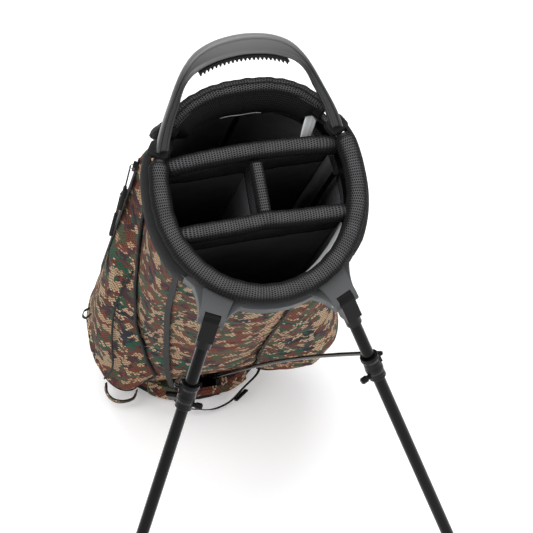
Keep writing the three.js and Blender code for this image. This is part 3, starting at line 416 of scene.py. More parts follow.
def catmull(points, count, closed=False):
    """Evenly spaced points on a smooth curve through the given ones."""
    p = np.asarray(points, float)
    ends = (p[-1:], p[:2]) if closed else (2 * p[:1] - p[1:2], 2 * p[-1:] - p[-2:-1])
    q = np.concatenate([ends[0], p, ends[1]])
    spans = len(p) if closed else len(p) - 1
    fine = []
    for i in range(spans):
        a, b, c, d = q[i:i + 4]
        for t in np.linspace(0, 1, 24, endpoint=False):
            fine.append(0.5 * (2 * b + (c - a) * t + (2 * a - 5 * b + 4 * c - d) * t ** 2
                               + (3 * b - a - 3 * c + d) * t ** 3))
    fine = np.array(fine + [p[0] if closed else p[-1]])
    run = np.concatenate([[0], np.cumsum(np.linalg.norm(np.diff(fine, axis=0), axis=1))])
    want = np.linspace(0, run[-1], count, endpoint=not closed)
    return np.stack([np.interp(want, run, fine[:, k]) for k in range(fine.shape[1])], -1)


def unit(v):
    """Vectors brought to length one."""
    return v / np.maximum(np.linalg.norm(v, axis=-1, keepdims=True), 1e-9)


def swept(path, section, up, scale=None):
    """Rows of points: the flat section, a list of (side, up), carried along the path.

    up is one direction, a direction for each point, or a function of the point."""
    path = np.asarray(path, float)
    tangent = unit(np.gradient(path, axis=0))
    ups = np.array([up(p) for p in path] if callable(up) else up, float)
    ups = np.broadcast_to(ups, path.shape)
    ups = unit(ups - (ups * tangent).sum(1, keepdims=True) * tangent)
    side = np.cross(tangent, ups)
    section = np.asarray(section, float)
    scale = np.ones(len(path)) if scale is None else np.asarray(scale, float)
    if scale.ndim == 1:
        scale = np.stack([scale, scale], 1)
    s = section[None, :, 0, None] * scale[:, None, 0, None]
    u = section[None, :, 1, None] * scale[:, None, 1, None]
    return path[:, None] + side[:, None] * s + ups[:, None] * u


def carried(path, first_up):
    """Up directions carried along a path without twist."""
    path = np.asarray(path, float)
    tangent = unit(np.gradient(path, axis=0))
    ups, up = [], np.asarray(first_up, float)
    for t in tangent:
        up = unit(up - (up @ t) * t)
        ups.append(up)
    return np.array(ups)


def circle(radius, sides):
    turn = np.linspace(0, math.tau, sides, endpoint=False)
    return radius * np.stack([np.cos(turn), np.sin(turn)], -1)


def rounded(width, height, corner, steps=4):
    """A rounded rectangle section."""
    corner = min(corner, width * 0.49, height * 0.49)
    out = []
    for quarter, (sx, sy) in enumerate([(1, 1), (-1, 1), (-1, -1), (1, -1)]):
        for i in range(steps + 1):
            turn = (quarter + i / steps) * math.pi / 2
            out.append((sx * (width / 2 - corner) + corner * math.cos(turn),
                        sy * (height / 2 - corner) + corner * math.sin(turn)))
    return np.array(out)


def tube(name, path, radius, material, sides=8, ends=True, **named):
    """A round bar along a path, with rounded ends."""
    path = np.asarray(path, float)
    scale = np.ones(len(path))
    if ends:
        turns = np.radians([75, 45, 15])
        bulge = 0.6 * radius * np.sin(turns)[:, None]
        start = path[0] + unit(path[0] - path[1]) * bulge
        finish = path[-1] + unit(path[-1] - path[-2]) * bulge[::-1]
        path = np.concatenate([start, path, finish])
        scale = np.concatenate([np.cos(turns), scale, np.cos(turns[::-1])])
    rows = swept(path, circle(radius, sides), carried(path, (0, 0, 1)), scale)
    return solid(name, rows, material, **named)


def ribbon(name, points, width, thickness, face, material, count, *stands_for, **named):
    """A flat strap with soft edges along a smooth curve."""
    rows = swept(catmull(points, count), rounded(width, thickness, thickness * 0.45, 3), face)
    return solid(name, rows, material, *stands_for, **named)


def ripple(u, v, wave_u, wave_v, seed):
    """Smooth noise over a cloth's own two directions, in -1..1."""
    flat = [noise.noise(Vector((a / wave_u, b / wave_v, seed))) for a, b in zip(u.ravel(), v.ravel())]
    return np.array(flat).reshape(u.shape)


def inflate(obj, held, pressure, cap, grow, frames=20, stiff=15.0):
    """Lets cloth simulation fill the piece. held says how firmly each vertex stays; cap is in millimetres."""
    mesh = obj.data
    rest = np.zeros(len(mesh.vertices) * 3)
    mesh.vertices.foreach_get("co", rest)
    rest = rest.reshape(-1, 3)
    group = obj.vertex_groups.new(name="held")
    for i, weight in enumerate(np.asarray(held, float).ravel()):
        group.add([i], float(weight), "REPLACE")
    cloth = obj.modifiers.new("filling", "CLOTH")
    settings = cloth.settings
    settings.quality = 4
    settings.use_pressure = True
    settings.uniform_pressure_force = pressure
    settings.effector_weights.gravity = 0
    settings.vertex_group_mass = "held"
    settings.tension_stiffness = stiff
    settings.compression_stiffness = stiff
    settings.bending_stiffness = 0.3
    settings.shrink_min = -grow
    cloth.collision_settings.use_collision = False
    cloth.point_cache.frame_start = 1
    cloth.point_cache.frame_end = frames
    scene = bpy.context.scene
    for number in range(1, frames + 1):
        scene.frame_set(number)
    shown = obj.evaluated_get(bpy.context.evaluated_depsgraph_get()).data
    moved = np.zeros(rest.size)
    shown.vertices.foreach_get("co", moved)
    obj.modifiers.remove(cloth)
    obj.vertex_groups.remove(group)
    scene.frame_set(1)
    shift = moved.reshape(-1, 3) - rest
    size = np.linalg.norm(shift, axis=1, keepdims=True)
    limit = cap * MM
    shift *= np.tanh(size / limit) * limit / np.maximum(size, 1e-9)
    mesh.vertices.foreach_set("co", (rest + shift).ravel())
    mesh.update()


def moulded(node, material, bevel=0.0):
    """Keeps a CAD node, with soft shading, an edge radius and a material."""
    obj = nodes[node]
    mesh = obj.data
    mesh.shade_smooth()
    mesh.set_sharp_from_angle(angle=math.radians(32))
    if bevel:
        made = obj.modifiers.new("edges", "BEVEL")
        made.width = bevel * MM
        made.segments = 2
        made.limit_method = "ANGLE"
        made.angle_limit = math.radians(40)
    mesh.materials.clear()
    mesh.materials.append(material)


# ---------------------------------------------------------------- the bag's outline
def oval(turn, half_across, half_out):
    """Radius of the bag's oval, squarer on the carry side, at an angle from the right side."""
    power = np.where(np.sin(turn) < 0, REAR_POWER, 2.0)
    across = np.abs(np.cos(turn) / half_across) ** power
    return (across + np.abs(np.sin(turn) / half_out) ** power) ** (-1 / power)


def bag_radius(turn, up):
    """The tube's radius, from a circle at the cup to the oval at the collar."""
    t = np.clip((np.asarray(up, float) - ROUND_TO) / (SHELL_END - ROUND_TO), 0, 1)
    return SHELL_R + (oval(turn, *SHELL_TOP) - SHELL_R) * t


def on_bag(turn, up, stand=0.0):
    """A point on the cloth tube, standing off it by some millimetres."""
    turn, up = np.broadcast_arrays(np.asarray(turn, float), np.asarray(up, float))
    radius = bag_radius(turn, up) + stand
    out = radius * np.sin(turn)
    limit = np.minimum(PRESSED_OUT + PRESSED_SLOPE * np.maximum(up - PRESSED_UNTIL, 0), PRESSED_MOST) + stand
    past = out - limit
    past = 0.5 * (past + np.sqrt(past ** 2 + 16))
    out = np.where(out > limit - 40, out - 0.88 * past, out)
    return np.stack([radius * np.cos(turn), out, up], -1)


def on_rim(turn, grow=0.0, up=RIM_UP):
    """A point on the padded rim's centre line, or that far outside it."""
    radius = oval(turn, RIM[0] + grow, RIM[1] + grow)
    return np.stack([radius * np.cos(turn), radius * np.sin(turn), np.broadcast_to(up, np.shape(turn))], -1)


def sideways(p):
    """Straight out from the bag's axis."""
    return (p[0], p[1], 0)


def outwards(turn):
    """Unit vectors out from the bag's axis."""
    return np.stack([np.cos(turn), np.sin(turn), np.zeros_like(turn)], -1)


# ---------------------------------------------------------------- cloth body
def bevel_height(out):
    """Where the bevel over the foot cuts the tube, up the axis, for a point this far out."""
    slope = 0.61
    toe_back = AXIS_Y - BASE_R / COS + 55
    rise = 7.5 + 5 + slope * (toe_back - AXIS_Y + COS * out) + SIN * out
    return rise / (COS - slope * SIN)


def cloth_body():
    """The camouflage tube from the base cup to the collar, with gathers on the legs' side and a lining."""
    cols, rows = 170, 190
    turn = np.linspace(0, math.tau, cols, endpoint=False)
    foot = on_bag(turn, 40.0)
    low = np.maximum(SHELL_BASE - 22, bevel_height(foot[:, 1]))
    t = np.linspace(0, 1, rows)[:, None]
    up = low[None] + (SHELL_END - low[None]) * t
    turns = np.broadcast_to(turn, up.shape)
    flat = on_bag(turns, up)
    around = turns * 112
    front = np.clip(np.sin(turns) * 1.6 - 0.1, 0, 1)
    inside = np.clip((828 - up) / 60, 0, 1) * np.clip((up - low - 4) / 40, 0, 1)
    folds = 1.5 * ripple(around, up, 80, 16, 3.1) + 1.1 * ripple(around, up, 34, 9, 8.2)
    creases = 1.6 * np.abs(ripple(around, up, 120, 26, 5.7)) - 0.5
    sag = 2.4 * ripple(around, up, 95, 140, 1.3)
    lift = (folds * (0.25 + front) + creases * front + sag) * inside
    points = on_bag(turns, up, np.clip(lift, -3.2, 3.2))
    mesh = grid("fabric_body", points, wrap=True, flat=flat)
    thick = thicken(piece("fabric_body", mesh, [CAMO, LINING], ["bag_body_shell"]), 2.0)
    thick.material_offset = 1
    thick.material_offset_rim = 1


cloth_body()


# ---------------------------------------------------------------- pockets
def pocket_rows(sections, side, rows, cols):
    """Evenly spaced sections up a pocket, from front edge to back edge, rounded in at both ends."""
    ups = np.array([up for up, _ in sections], float)
    lines = np.array([catmull(np.array(outer, float), cols) for _, outer in sections])
    want = np.linspace(ups[0], ups[-1], rows)
    skin = np.empty((rows, cols, 3))
    for i, up in enumerate(want):
        k = min(np.searchsorted(ups, up, side="right") - 1, len(ups) - 2)
        t = (up - ups[k]) / (ups[k + 1] - ups[k])
        t = t * t * (3 - 2 * t) * 0.4 + t * 0.6
        line = lines[k] * (1 - t) + lines[k + 1] * t
        turn = np.arctan2(line[:, 1], line[:, 0] * side)
        radius = np.maximum(np.hypot(line[:, 0], line[:, 1]), bag_radius(turn, up) + 3.4)
        skin[i] = np.stack([side * radius * np.cos(turn), radius * np.sin(turn), np.full(cols, up)], -1)
    for end, reach in ((ups[0], 36), (ups[-1], 20)):
        for i, up in enumerate(want):
            depth = abs(up - end)
            if depth >= reach:
                continue
            share = 0.55 + 0.45 * math.sqrt(max(1 - (1 - depth / reach) ** 2, 0.0))
            turn = np.arctan2(skin[i, :, 1], skin[i, :, 0])
            near = bag_radius(turn, up) + 3.0
            radius = near + (np.hypot(skin[i, :, 0], skin[i, :, 1]) - near) * share
            skin[i, :, 0] = radius * np.cos(turn)
            skin[i, :, 1] = radius * np.sin(turn)
    return skin


# Sections of the pockets at some heights: (across, out) points from the front edge round to the back edge.
APPAREL = [
    (96, [(-80, 80), (-100, 92), (-120, 86), (-134, 64), (-139, 30),
          (-137, -5), (-128, -40), (-108, -66), (-84, -76)]),
    (120, [(-76, 84), (-102, 92), (-124, 82), (-139, 60), (-143, 28),
           (-141, -8), (-131, -42), (-110, -68), (-84, -77)]),
    (200, [(-68, 90), (-102, 86), (-129, 68), (-146, 44), (-149, 15),
           (-146, -15), (-136, -45), (-112, -70), (-84, -78)]),
    (300, [(-88, 70), (-110, 62), (-126, 46), (-146, 30), (-152, 8),
           (-147, -20), (-136, -45), (-112, -72), (-84, -80)]),
    (400, [(-104, 42), (-113, 38), (-119, 32), (-140, 18), (-150, -2),
           (-146, -25), (-134, -48), (-112, -74), (-84, -82)]),
    (550, [(-112, 14), (-117, 6), (-122, -2), (-136, -14), (-142, -32),
           (-138, -48), (-129, -62), (-112, -80), (-86, -86)]),
    (700, [(-115, -24), (-118, -32), (-121, -38), (-128, -50), (-130, -61),
           (-125, -72), (-116, -82), (-106, -90), (-90, -94)]),
    (790, [(-113, -38), (-116, -44), (-118, -49), (-122, -58), (-123, -67),
           (-119, -76), (-112, -84), (-104, -90), (-94, -93)]),
    (822, [(-113, -44), (-115, -48), (-116, -52), (-118, -58), (-118, -66),
           (-114, -75), (-109, -82), (-103, -88), (-96, -92)]),
]
BALL = [
    (125, [(74, 88), (98, 98), (128, 101), (150, 97), (166, 84),
           (171, 58), (168, 18), (144, -30), (106, -62)]),
    (190, [(66, 93), (94, 101), (128, 106), (154, 102), (170, 88),
           (177, 58), (173, 18), (148, -32), (107, -60)]),
    (262, [(60, 96), (88, 104), (126, 109), (155, 105), (170, 90),
           (176, 56), (171, 14), (146, -34), (108, -58)]),
    (330, [(50, 103), (82, 107), (118, 108), (145, 104), (160, 88),
           (165, 50), (160, 10), (138, -32), (106, -56)]),
    (450, [(42, 108), (72, 111), (96, 99), (118, 97), (133, 88),
           (139, 56), (136, 14), (122, -22), (105, -48)]),
    (600, [(38, 111), (66, 115), (96, 93), (104, 86), (114, 72),
           (119, 44), (118, 12), (113, -16), (106, -38)]),
    (740, [(36, 115), (62, 106), (82, 89), (95, 76), (105, 58),
           (113, 38), (117, 14), (115, -10), (110, -30)]),
]


def pocket(name, sections, side, seed):
    """A pocket's skin, filled by simulation, its floor and its roof. Returns the rows before filling."""
    rows, cols = 96, 84
    flat = pocket_rows(sections, side, rows, cols)
    u = np.cumsum(np.linalg.norm(np.diff(flat, axis=1), axis=2), 1)
    u = np.concatenate([np.zeros((rows, 1)), u], 1)
    v = flat[..., 2]
    span = u / u[:, -1:]
    inner = np.clip(np.sin(span * math.pi) * 1.6, 0, 1) * np.clip((v - v.min()) / 30, 0, 1)
    inner *= np.clip((v.max() - v) / 50, 0, 1)
    lift = 3.2 * ripple(u, v, 70, 130, seed) + 2.0 * ripple(u, v, 30, 75, seed + 4)
    lift += 2.4 * (0.5 - np.abs(ripple(u + 0.35 * v, v, 46, 150, seed + 9))) - 0.8
    turn = np.arctan2(flat[..., 1], flat[..., 0])
    points = flat + outwards(turn) * (lift * inner)[..., None]
    room = bag_radius(turn, v) + 2.8
    radius = np.hypot(points[..., 0], points[..., 1])
    points[..., :2] *= (np.maximum(radius, room) / radius)[..., None]
    skin = piece("fabric_" + name, grid("fabric_" + name, points, flat=flat), [CAMO, LINING], [name])
    held = np.clip(1.15 - inner * 1.15, 0.05, 1)
    held[(span < 0.03) | (span > 0.97)] = 1
    held[:2] = held[-2:] = 1
    inflate(skin, held, pressure=3.0, cap=4.5, grow=0.02)
    closing(name + "_floor", flat[0])
    closing(name + "_roof", flat[-1])
    return flat + outwards(turn) * 0.6


def closing(name, ring):
    """A flat cloth end between a pocket's edge row and the body."""
    near = on_bag(np.arctan2(ring[:, 1], ring[:, 0]), ring[:, 2], 1.0)
    rows = np.array([ring * (1 - t) + near * t for t in np.linspace(0, 1, 6)])
    piece(name, grid(name, rows), CAMO)


def piping(name, path, radius=2.1):
    """Corded binding sewn along a seam."""
    tube(name, catmull(path, 90), radius, BINDING)


def pockets():
    for name, sections, side, seed, front, panel, corners in (
        ("apparel", APPAREL, -1, 2.3, 2.1, ("apparel_panel_piping", 1.5),
         ((4, 22), (14, 21), (26, 20), (38, 16), (50, 12), (58, 6))),
        ("ball", BALL, 1, 6.1, 1.5, ("ball_ridge_piping", 1.6),
         ((3, 50), (16, 51), (30, 51), (44, 50), (58, 48), (72, 46), (88, 44))),
    ):
        lines = pocket(name + "_pocket", sections, side, seed)
        piping(name + "_front_piping", lines[2:-1:4, 1], front)
        piping(name + "_back_piping", lines[2:-1:4, -2])
        piping(name + "_floor_piping", lines[1, 2:-2:5])
        piping(panel[0], [lines[k, i] for k, i in corners], panel[1])


pockets()


# ---------------------------------------------------------------- rim, dividers and lining
def rim_roll():
    """Padded roll along the legs' side of the rim."""
    count = 200
    t = np.linspace(0, 1, count)
    ends = np.clip(np.minimum(t, 1 - t) * count / 3.2, 0.35, 1) ** 0.5
    lumps = 1 + 0.035 * np.sin(t * 61) * np.sin(t * 17 + 1) + 0.02 * np.sin(t * 151)
    path = on_rim(np.radians(np.linspace(-26, 206, count)))
    rows = swept(path, circle(RIM_R, 28), sideways, ends * lumps)
    solid("mesh_rim_roll", rows, MESH, "rim_pad_front")


def rear_pad():
    """Raised padded rim on the carry side, with three rows of binding."""
    count = 90
    turns = np.radians(np.linspace(221.5, 318.5, count))
    t = np.linspace(0, 1, count)
    swell = np.sin(t * math.pi)
    top = 888 + 19.5 * swell ** 0.6
    low = SHELL_END - 1.5
    rows = []
    for i, turn in enumerate(turns):
        c, s = math.cos(turn), math.sin(turn)
        base = on_rim(turn)
        line = [(-8.6, low), (-9.6, low + 9), (-9.2, top[i] - 8), (-6.6, top[i] - 2.2), (-1.5, top[i]),
                (3.4, top[i] - 0.6), (8.2, top[i] - 4), (10, top[i] - 10), (10, low + 8), (7.6, low)]
        line = catmull(line, 30)
        bulge = 0.6 * math.sin(i * 0.9) * math.sin(i * 0.23)
        grown = [(a + bulge * (a > 0), b) for a, b in line]
        rows.append([(base[0] + c * a, base[1] + s * a, b) for a, b in grown])
    rows = np.array(rows)
    solid("mesh_rear_pad", rows, MESH, "rim_pad_rear")
    seam = rows[2:-2:4, 15] + (0, 0, 0.5)
    piping("rear_pad_seam", seam, 1.1)
    for k, name in ((5, "rear_pad_inner_seam"), (24, "rear_pad_outer_seam")):
        piping(name, rows[2:-2:4, k], 1.0)


def divider_bar(name, path, width, height):
    """Padded bar across the mouth: a roll with drooping ends."""
    t = np.linspace(-1, 1, 64)
    scale = np.clip((1 - np.abs(t)) * 30, 0.5, 1) ** 0.5 * (1 + 0.02 * np.sin(t * 41))
    rows = swept(catmull(path, len(t)), rounded(width, height, width * 0.46, 7), (0, 0, 1), scale)
    solid("mesh_" + name, rows, MESH, name)


def hanging(which, start, end, sway):
    """Divider cloth from its bar down into the bag, with a mesh band at the top."""
    cols, rows = 44, 120
    span = np.array(end, float) - start
    length = math.hypot(*span)
    t = np.linspace(0, 1, cols)[None]
    up = np.linspace(CLOTH_LOW, CLOTH_TOP, rows)[:, None]
    t, up = np.broadcast_arrays(t, up)
    wave = sway * (ripple(t * length, up, 60, 170, 4.4) + 0.4 * ripple(t * length, up, 24, 90, 7.7))
    wave = wave * np.clip((CLOTH_TOP - up) / 60, 0, 1)
    along = span / length
    points = np.stack([start[0] + span[0] * t - along[1] * wave, start[1] + span[1] * t + along[0] * wave,
                       up], -1)
    split = int(rows * CLOTH_SHARE)
    name = "cloth_divider_" + which
    made = piece(name, grid(name, points[:split + 1]), LINING, ["divider_sheet_" + which])
    thicken(made, 1.0, 0)
    band = piece(name + "_mesh_band", grid(name + "_mesh_band", points[split:]), NET)
    thicken(band, 1.8, 0)
    hem = tube(name + "_hem", points[split], 1.5, BINDING)


def mirrored(half):
    """A path drawn from its left end to the middle, with its right half added."""
    return half + [(-x, out, up) for x, out, up in half[-2::-1]]


def mouth():
    """The four-way top: the rim, the bars, the divider cloths and the mesh round the inside."""
    rim_roll()
    rear_pad()
    rear = mirrored([(-99, -43, 868), (-92, -43.5, 876), (-78, -44.5, 882), (-50, -46, 884.5),
                     (0, -47.5, 885.5)])
    divider_bar("divider_bar_rear", rear, 20, 25)
    front = [(-101, 38, 868), (-94, 38, 876), (-80, 38, 882), (-34, 37.5, 884), (-12, 36.5, 886),
             (2, 35.5, 887), (16, 36.5, 886), (38, 37.5, 884), (80, 38, 882), (94, 38, 876), (101, 38, 868)]
    divider_bar("divider_bar_front", front, 20, 25)
    divider_bar("divider_bar_middle", [(2, -33, 884), (2, -10, 884.4), (2, 10, 884.4), (2, 27, 884)],
                15.5, 22)
    hanging("rear", (-98, DIVIDER_REAR), (98, DIVIDER_REAR), 2.6)
    hanging("front", (-98, DIVIDER_FRONT), (98, DIVIDER_FRONT), 2.6)
    hanging("middle", (2, -42), (2, 36), 1.6)
    turn = np.linspace(0, math.tau, 150, endpoint=False)
    ups = np.linspace(806, 880, 16)
    band = np.array([on_bag(turn, min(u, SHELL_END), -4.0) for u in ups])
    band[..., 2] = ups[:, None]
    around = np.broadcast_to(turn * 110, band.shape[:2])
    band[..., :2] *= (1 + 0.004 * ripple(around, band[..., 2], 18, 30, 3.3))[..., None]
    thicken(piece("mesh_mouth_facing", grid("mesh_mouth_facing", band, wrap=True), NET), 1.2)
    tube("mouth_facing_hem", np.concatenate([band[0], band[0][:1]]), 1.3, BINDING, ends=False)


mouth()


def collar_band():
    """Black cloth band round the top of the fabric, under the padded rim."""
    turn = np.linspace(0, math.tau, 180, endpoint=False)
    ups = np.concatenate([[835.5, 836], np.linspace(838, 871, 14)])
    rows = np.array([on_bag(turn, u, 2.4) for u in ups])
    flat = rows.copy()
    around = np.broadcast_to(turn * 115, rows.shape[:2])
    swell = 1 + 0.004 * ripple(around, rows[..., 2], 26, 18, 6.6)
    swell[0] = 0.996
    rows[..., :2] *= swell[..., None]
    thicken(piece("cloth_collar_band", grid("cloth_collar_band", rows, wrap=True, flat=flat), CLOTH), 1.0)
    edge = on_bag(np.linspace(0, math.tau, 160), 836.5, 2.6)
    tube("collar_band_binding", edge, 1.3, BINDING, ends=False)


collar_band()


def rear_facing():
    """Padded mesh panel sloping in below the rear pad, with a scalloped edge and a pale cord."""
    s = np.linspace(-1, 1, 110)
    turn = np.radians(270 + 45 * s)
    scallop = np.abs(np.cos(s * math.pi * 1.5)) ** 0.8
    low = 866 - 15 * (1 - scallop * 0.55) - 8 * np.exp(-(s / 0.2) ** 2)
    fade = np.clip((1 - np.abs(s)) * 9, 0, 1)
    rows = []
    for t in np.linspace(0, 1, 26):
        inward = 13.5 * math.sin(t * math.pi / 2) + 3.5 * math.sin(math.pi * t)
        pleat = 1.2 * np.exp(-(s / 0.03) ** 2) * math.sin(math.pi * t)
        row = on_rim(turn) + outwards(turn) * (pleat - 7 - inward * fade)[:, None]
        row[:, 2] = (902 - 8 * s ** 2) * (1 - t) + low * t
        rows.append(row)
    rows = np.array(rows)
    panel = piece("mesh_rear_facing", grid("mesh_rear_facing", rows), MESH)
    thicken(panel, 3, 1)
    tube("rear_facing_hem", rows[-1], 1.3, BINDING)
    tube("rear_facing_cord", rows[-1][38:72] + (0, 0.6, 1.2), 0.45, TAPE, sides=6)


rear_facing()


def mouth_lip():
    """Moulded lip inside the front compartment, coloured pale as a painted highlight for the bright crescent
    of light there.
    """
    s = np.linspace(0, 1, 50)
    turn = np.radians(23 + 54 * s)
    taper = np.sin(s * math.pi)
    rows = []
    for t in np.linspace(0, 1, 8):
        rows.append(on_rim(turn, -11.6 - 4.6 * t * taper, 871 - 20 * t * taper))
    thicken(piece("mouth_lip_painted_highlight", grid("mouth_lip_painted_highlight", np.array(rows)), HIGHLIGHT_LIP), 0.8, 0)


mouth_lip()


def rim_skirts():
    """Black cloth under the rim at both sides, over the ends of the leg yoke."""
    count = 70
    taper = np.clip(np.minimum(np.arange(count), np.arange(count)[::-1]) / 8, 0, 1)
    profile = ((846.5, 16.4), (849, 17.2), (856, 17.6), (864, 17.4), (871, 16.2), (877, 13.6), (881, 10.4))
    for side, start, end in (("left", 140, 209), ("right", -29, 40)):
        turn = np.radians(np.linspace(start, end, count))
        rows = np.array([on_rim(turn, grow, up) for up, grow in profile])
        rows -= outwards(turn) * (2.0 * (1 - taper))[:, None]
        name = "cloth_rim_skirt_" + side
        thicken(piece(name, grid(name, rows), CLOTH), 1.2, 0)
        tube("rim_skirt_edge_" + side, rows[0], 1.3, BINDING)


rim_skirts()


def yoke_wings():
    """Concave webs that spread each arm of the leg yoke into its band."""
    for side, label in ((-1, "left"), (1, "right")):
        out = np.array([side * 0.4226, 0.9063, 0])
        along = side * np.cross(out, (0, 0, 1))
        pivot = np.array([side * 77.5, 136, 0])
        for half, tag in ((-1, "inner"), (1, "outer")):
            rows = []
            for t in np.linspace(0, 1, 18):
                reach = -33 + 40 * t
                width = 15.2 + (26 if half < 0 else 16.5) * (1 - t) ** 1.9
                low, top = 850 + 5 * t, 872 + 5 * t
                ring = [(13, low), (width - 1, low), (width, low + 1), (width, top - 1.5), (width - 1.5, top),
                        (13, top)]
                rows.append([pivot + out * reach + along * half * w + (0, 0, z) for w, z in ring])
            made = solid(f"yoke_wing_{label}_{tag}", np.array(rows), GREY)
            made.data.set_sharp_from_angle(angle=math.radians(40))


yoke_wings()


# ---------------------------------------------------------------- handle
HANDLE_TURN = math.atan2(62, 94)


def handle_point(x, y, z):
    """Handle plane (across, up the plane, out of it towards the legs' side) to bag millimetres."""
    c, s = math.cos(HANDLE_TURN), math.sin(HANDLE_TURN)
    return (x, -66 - y * c + z * s, 890 + y * s + z * c)


def cubic(points, count):
    """Points along joined cubic curves: a start followed by groups of three."""
    out = [points[0]]
    for k in range(1, len(points), 3):
        a, (b, c, d) = np.array(points[k - 1], float), np.array(points[k:k + 3], float)
        for t in np.linspace(0, 1, count + 1)[1:]:
            out.append(a * (1 - t) ** 3 + b * 3 * t * (1 - t) ** 2 + c * 3 * t * t * (1 - t) + d * t ** 3)
    return np.array(out, float)


# Half outlines of the handle in its own plane, from its left foot to the middle, as joined cubic curves.
HANDLE_OUTER = [(-110, -4), (-107, 12), (-101, 26), (-94, 42), (-86, 60), (-78, 82), (-66, 96),
                (-56, 110), (-36, 121), (0, 122)]
HANDLE_INNER = [(-95, -4), (-91, 16), (-86, 32), (-78, 50), (-74, 62), (-70, 74), (-58, 83),
                (-40, 95), (-20, 98), (0, 98.5)]
HANDLE_T = 13


def carry_handle():
    """The lift handle: a band between two outlines, with a raised ridge along both edges of its face."""
    outer, inner = cubic(HANDLE_OUTER, 24), cubic(HANDLE_INNER, 24)
    outer = np.concatenate([outer, outer[-2::-1] * (-1, 1)])
    inner = np.concatenate([inner, inner[-2::-1] * (-1, 1)])
    rows = []
    half = HANDLE_T / 2
    for a, b in zip(outer, inner):
        across = a - b
        width = np.linalg.norm(across)
        across = across / width
        ridge = min(3.0, width * 0.18)
        line = [(0.8, -half + 1.5), (0.0, 0), (0.8, half - 1.5), (2.0, half), (ridge + 0.4, half),
                (ridge + 2.2, half - 2.2), (width * 0.5, half - 2.8), (width - ridge - 2.4, half - 2.2),
                (width - ridge - 0.6, half), (width - 2.0, half), (width - 0.7, half - 1.6), (width, 0),
                (width - 0.7, -half + 1.6), (width - 2.0, -half), (width * 0.5, -half + 0.4), (2.0, -half)]
        line = catmull(line, 48, closed=True)
        rows.append([handle_point(*(b + across * s), z) for s, z in line])
    solid("moulded_handle", np.array(rows), HANDLE, "carry_handle")


carry_handle()


# ---------------------------------------------------------------- sleeves, straps and loops
def sleeves():
    """Woven sleeves that hold the handle's feet on the rim."""
    profile = ((873.9, 20, 16), (874.6, 22.5, 18), (876.5, 24, 19), (879.5, 24.2, 19.2), (881.6, 23.6, 18.6),
               (882.8, 22, 17))
    for side, degrees in (("left", 212), ("right", -32)):
        turn = math.radians(degrees)
        foot = on_rim(turn, 1.0, 0)
        radial = outwards(turn)
        tangent = np.array([-radial[1], radial[0], 0])

        def ring(up, width, depth):
            corners = rounded(width, depth, 5.5, 5)
            return [foot + radial * a + tangent * b + (0, 0, up) for a, b in corners]

        name = "handle_sleeve_" + side
        solid("woven_" + name, np.array([ring(*level) for level in profile]), WEBBING, name)
        band = ring(878, 24.8, 19.8)
        tube("sleeve_edge_" + side, band + band[:1], 0.9, BINDING, ends=False)


sleeves()


def surface(angle, up, stand):
    """A point on the pressed-in front of the tube, at an angle from its left side."""
    turn = math.pi - math.radians(angle)
    radius = bag_radius(turn, up) + stand
    limit = min(PRESSED_OUT + PRESSED_SLOPE * max(up - PRESSED_UNTIL, 0), PRESSED_MOST)
    return (float(radius * math.cos(turn)), float(min(radius * math.sin(turn), limit + 12 + stand)), up)


def side_strap():
    """The strap down the left of the legs' side, with its riveted keeper and its buckle."""
    levels = ((22, 836), (31.5, 800), (35.5, 720), (39, 600), (47.5, 440), (56, 290), (63, 200), (67.5, 150))
    route = [surface(angle, up, 3.0) for angle, up in levels]
    ribbon("webbing_side_strap", route, 9, 1.6, sideways, BINDING, 110, "side_strap")
    keeper = [surface(14, 844, 6.2), surface(20, 838, 6.6), surface(26, 826, 6.2)]
    ribbon("moulded_keeper", keeper, 26, 4, sideways, BLACK, 20, "side_strap_keeper")
    out = unit(np.array(keeper[1]) * (1, 1, 0))
    tube("keeper_rivet", [keeper[1] + out * 1.2, keeper[1] + out * 2.4], 2.4, STEEL, sides=16)
    buckle = [(-45, 110.5, 140), (-40, 113, 118)]
    ribbon("moulded_buckle", buckle, 20, 7, (-0.35, 0.94, 0), BLACK, 10, "side_strap_buckle")


def lower_strap():
    """The slack strap across the front above the foot, with its adjuster."""
    def face(p):
        return unit(np.array([p[0] * 0.5, p[1], 0.0])) + (0, 0, -0.25)

    route = [(-39, 114, 112), (-34, 123, 114), (-24, 130.5, 119), (-8, 134.5, 116), (14, 135, 103),
             (38, 128, 102), (60, 112, 106), (80, 97.5, 110), (88, 85, 112)]
    ribbon("webbing_lower_strap", route, 10, 1.4, face, WEBBING, 80, "lower_strap")
    adjuster = [(45, 128, 105.5), (63, 116, 105.5)]
    ribbon("moulded_adjuster", adjuster, 14, 3.4, face, BLACK, 10, "strap_adjuster")


def loops():
    """The bound grab loop at the bottom left and the small webbing loop on the apparel pocket."""
    grab = [(-129, 76, 102), (-130, 88, 99), (-123, 99, 97), (-110, 104, 97), (-95, 102, 97), (-88, 92, 99)]
    face = lambda p: (p[0] + 100, p[1] - 84, 0)
    ribbon("fabric_grab_loop", grab, 18, 2.8, face, CAMO, 50, "bottom_grab_loop")
    for k, edge in enumerate((-8.6, 8.6)):
        line = catmull([(x, out, up + edge) for x, out, up in grab], 40)
        tube(f"grab_loop_binding_{k}", line, 0.9, BINDING)
    side = [(-150.5, 4, 262), (-158, 8, 262), (-161.5, 4, 262), (-158, -2, 262), (-150.5, -4, 262)]
    face = lambda p: (p[0] + 155, p[1] - 2, 0)
    ribbon("webbing_side_loop", side, 14, 1.2, face, WEBBING, 40, "side_webbing_loop")


side_strap()
lower_strap()
loops()


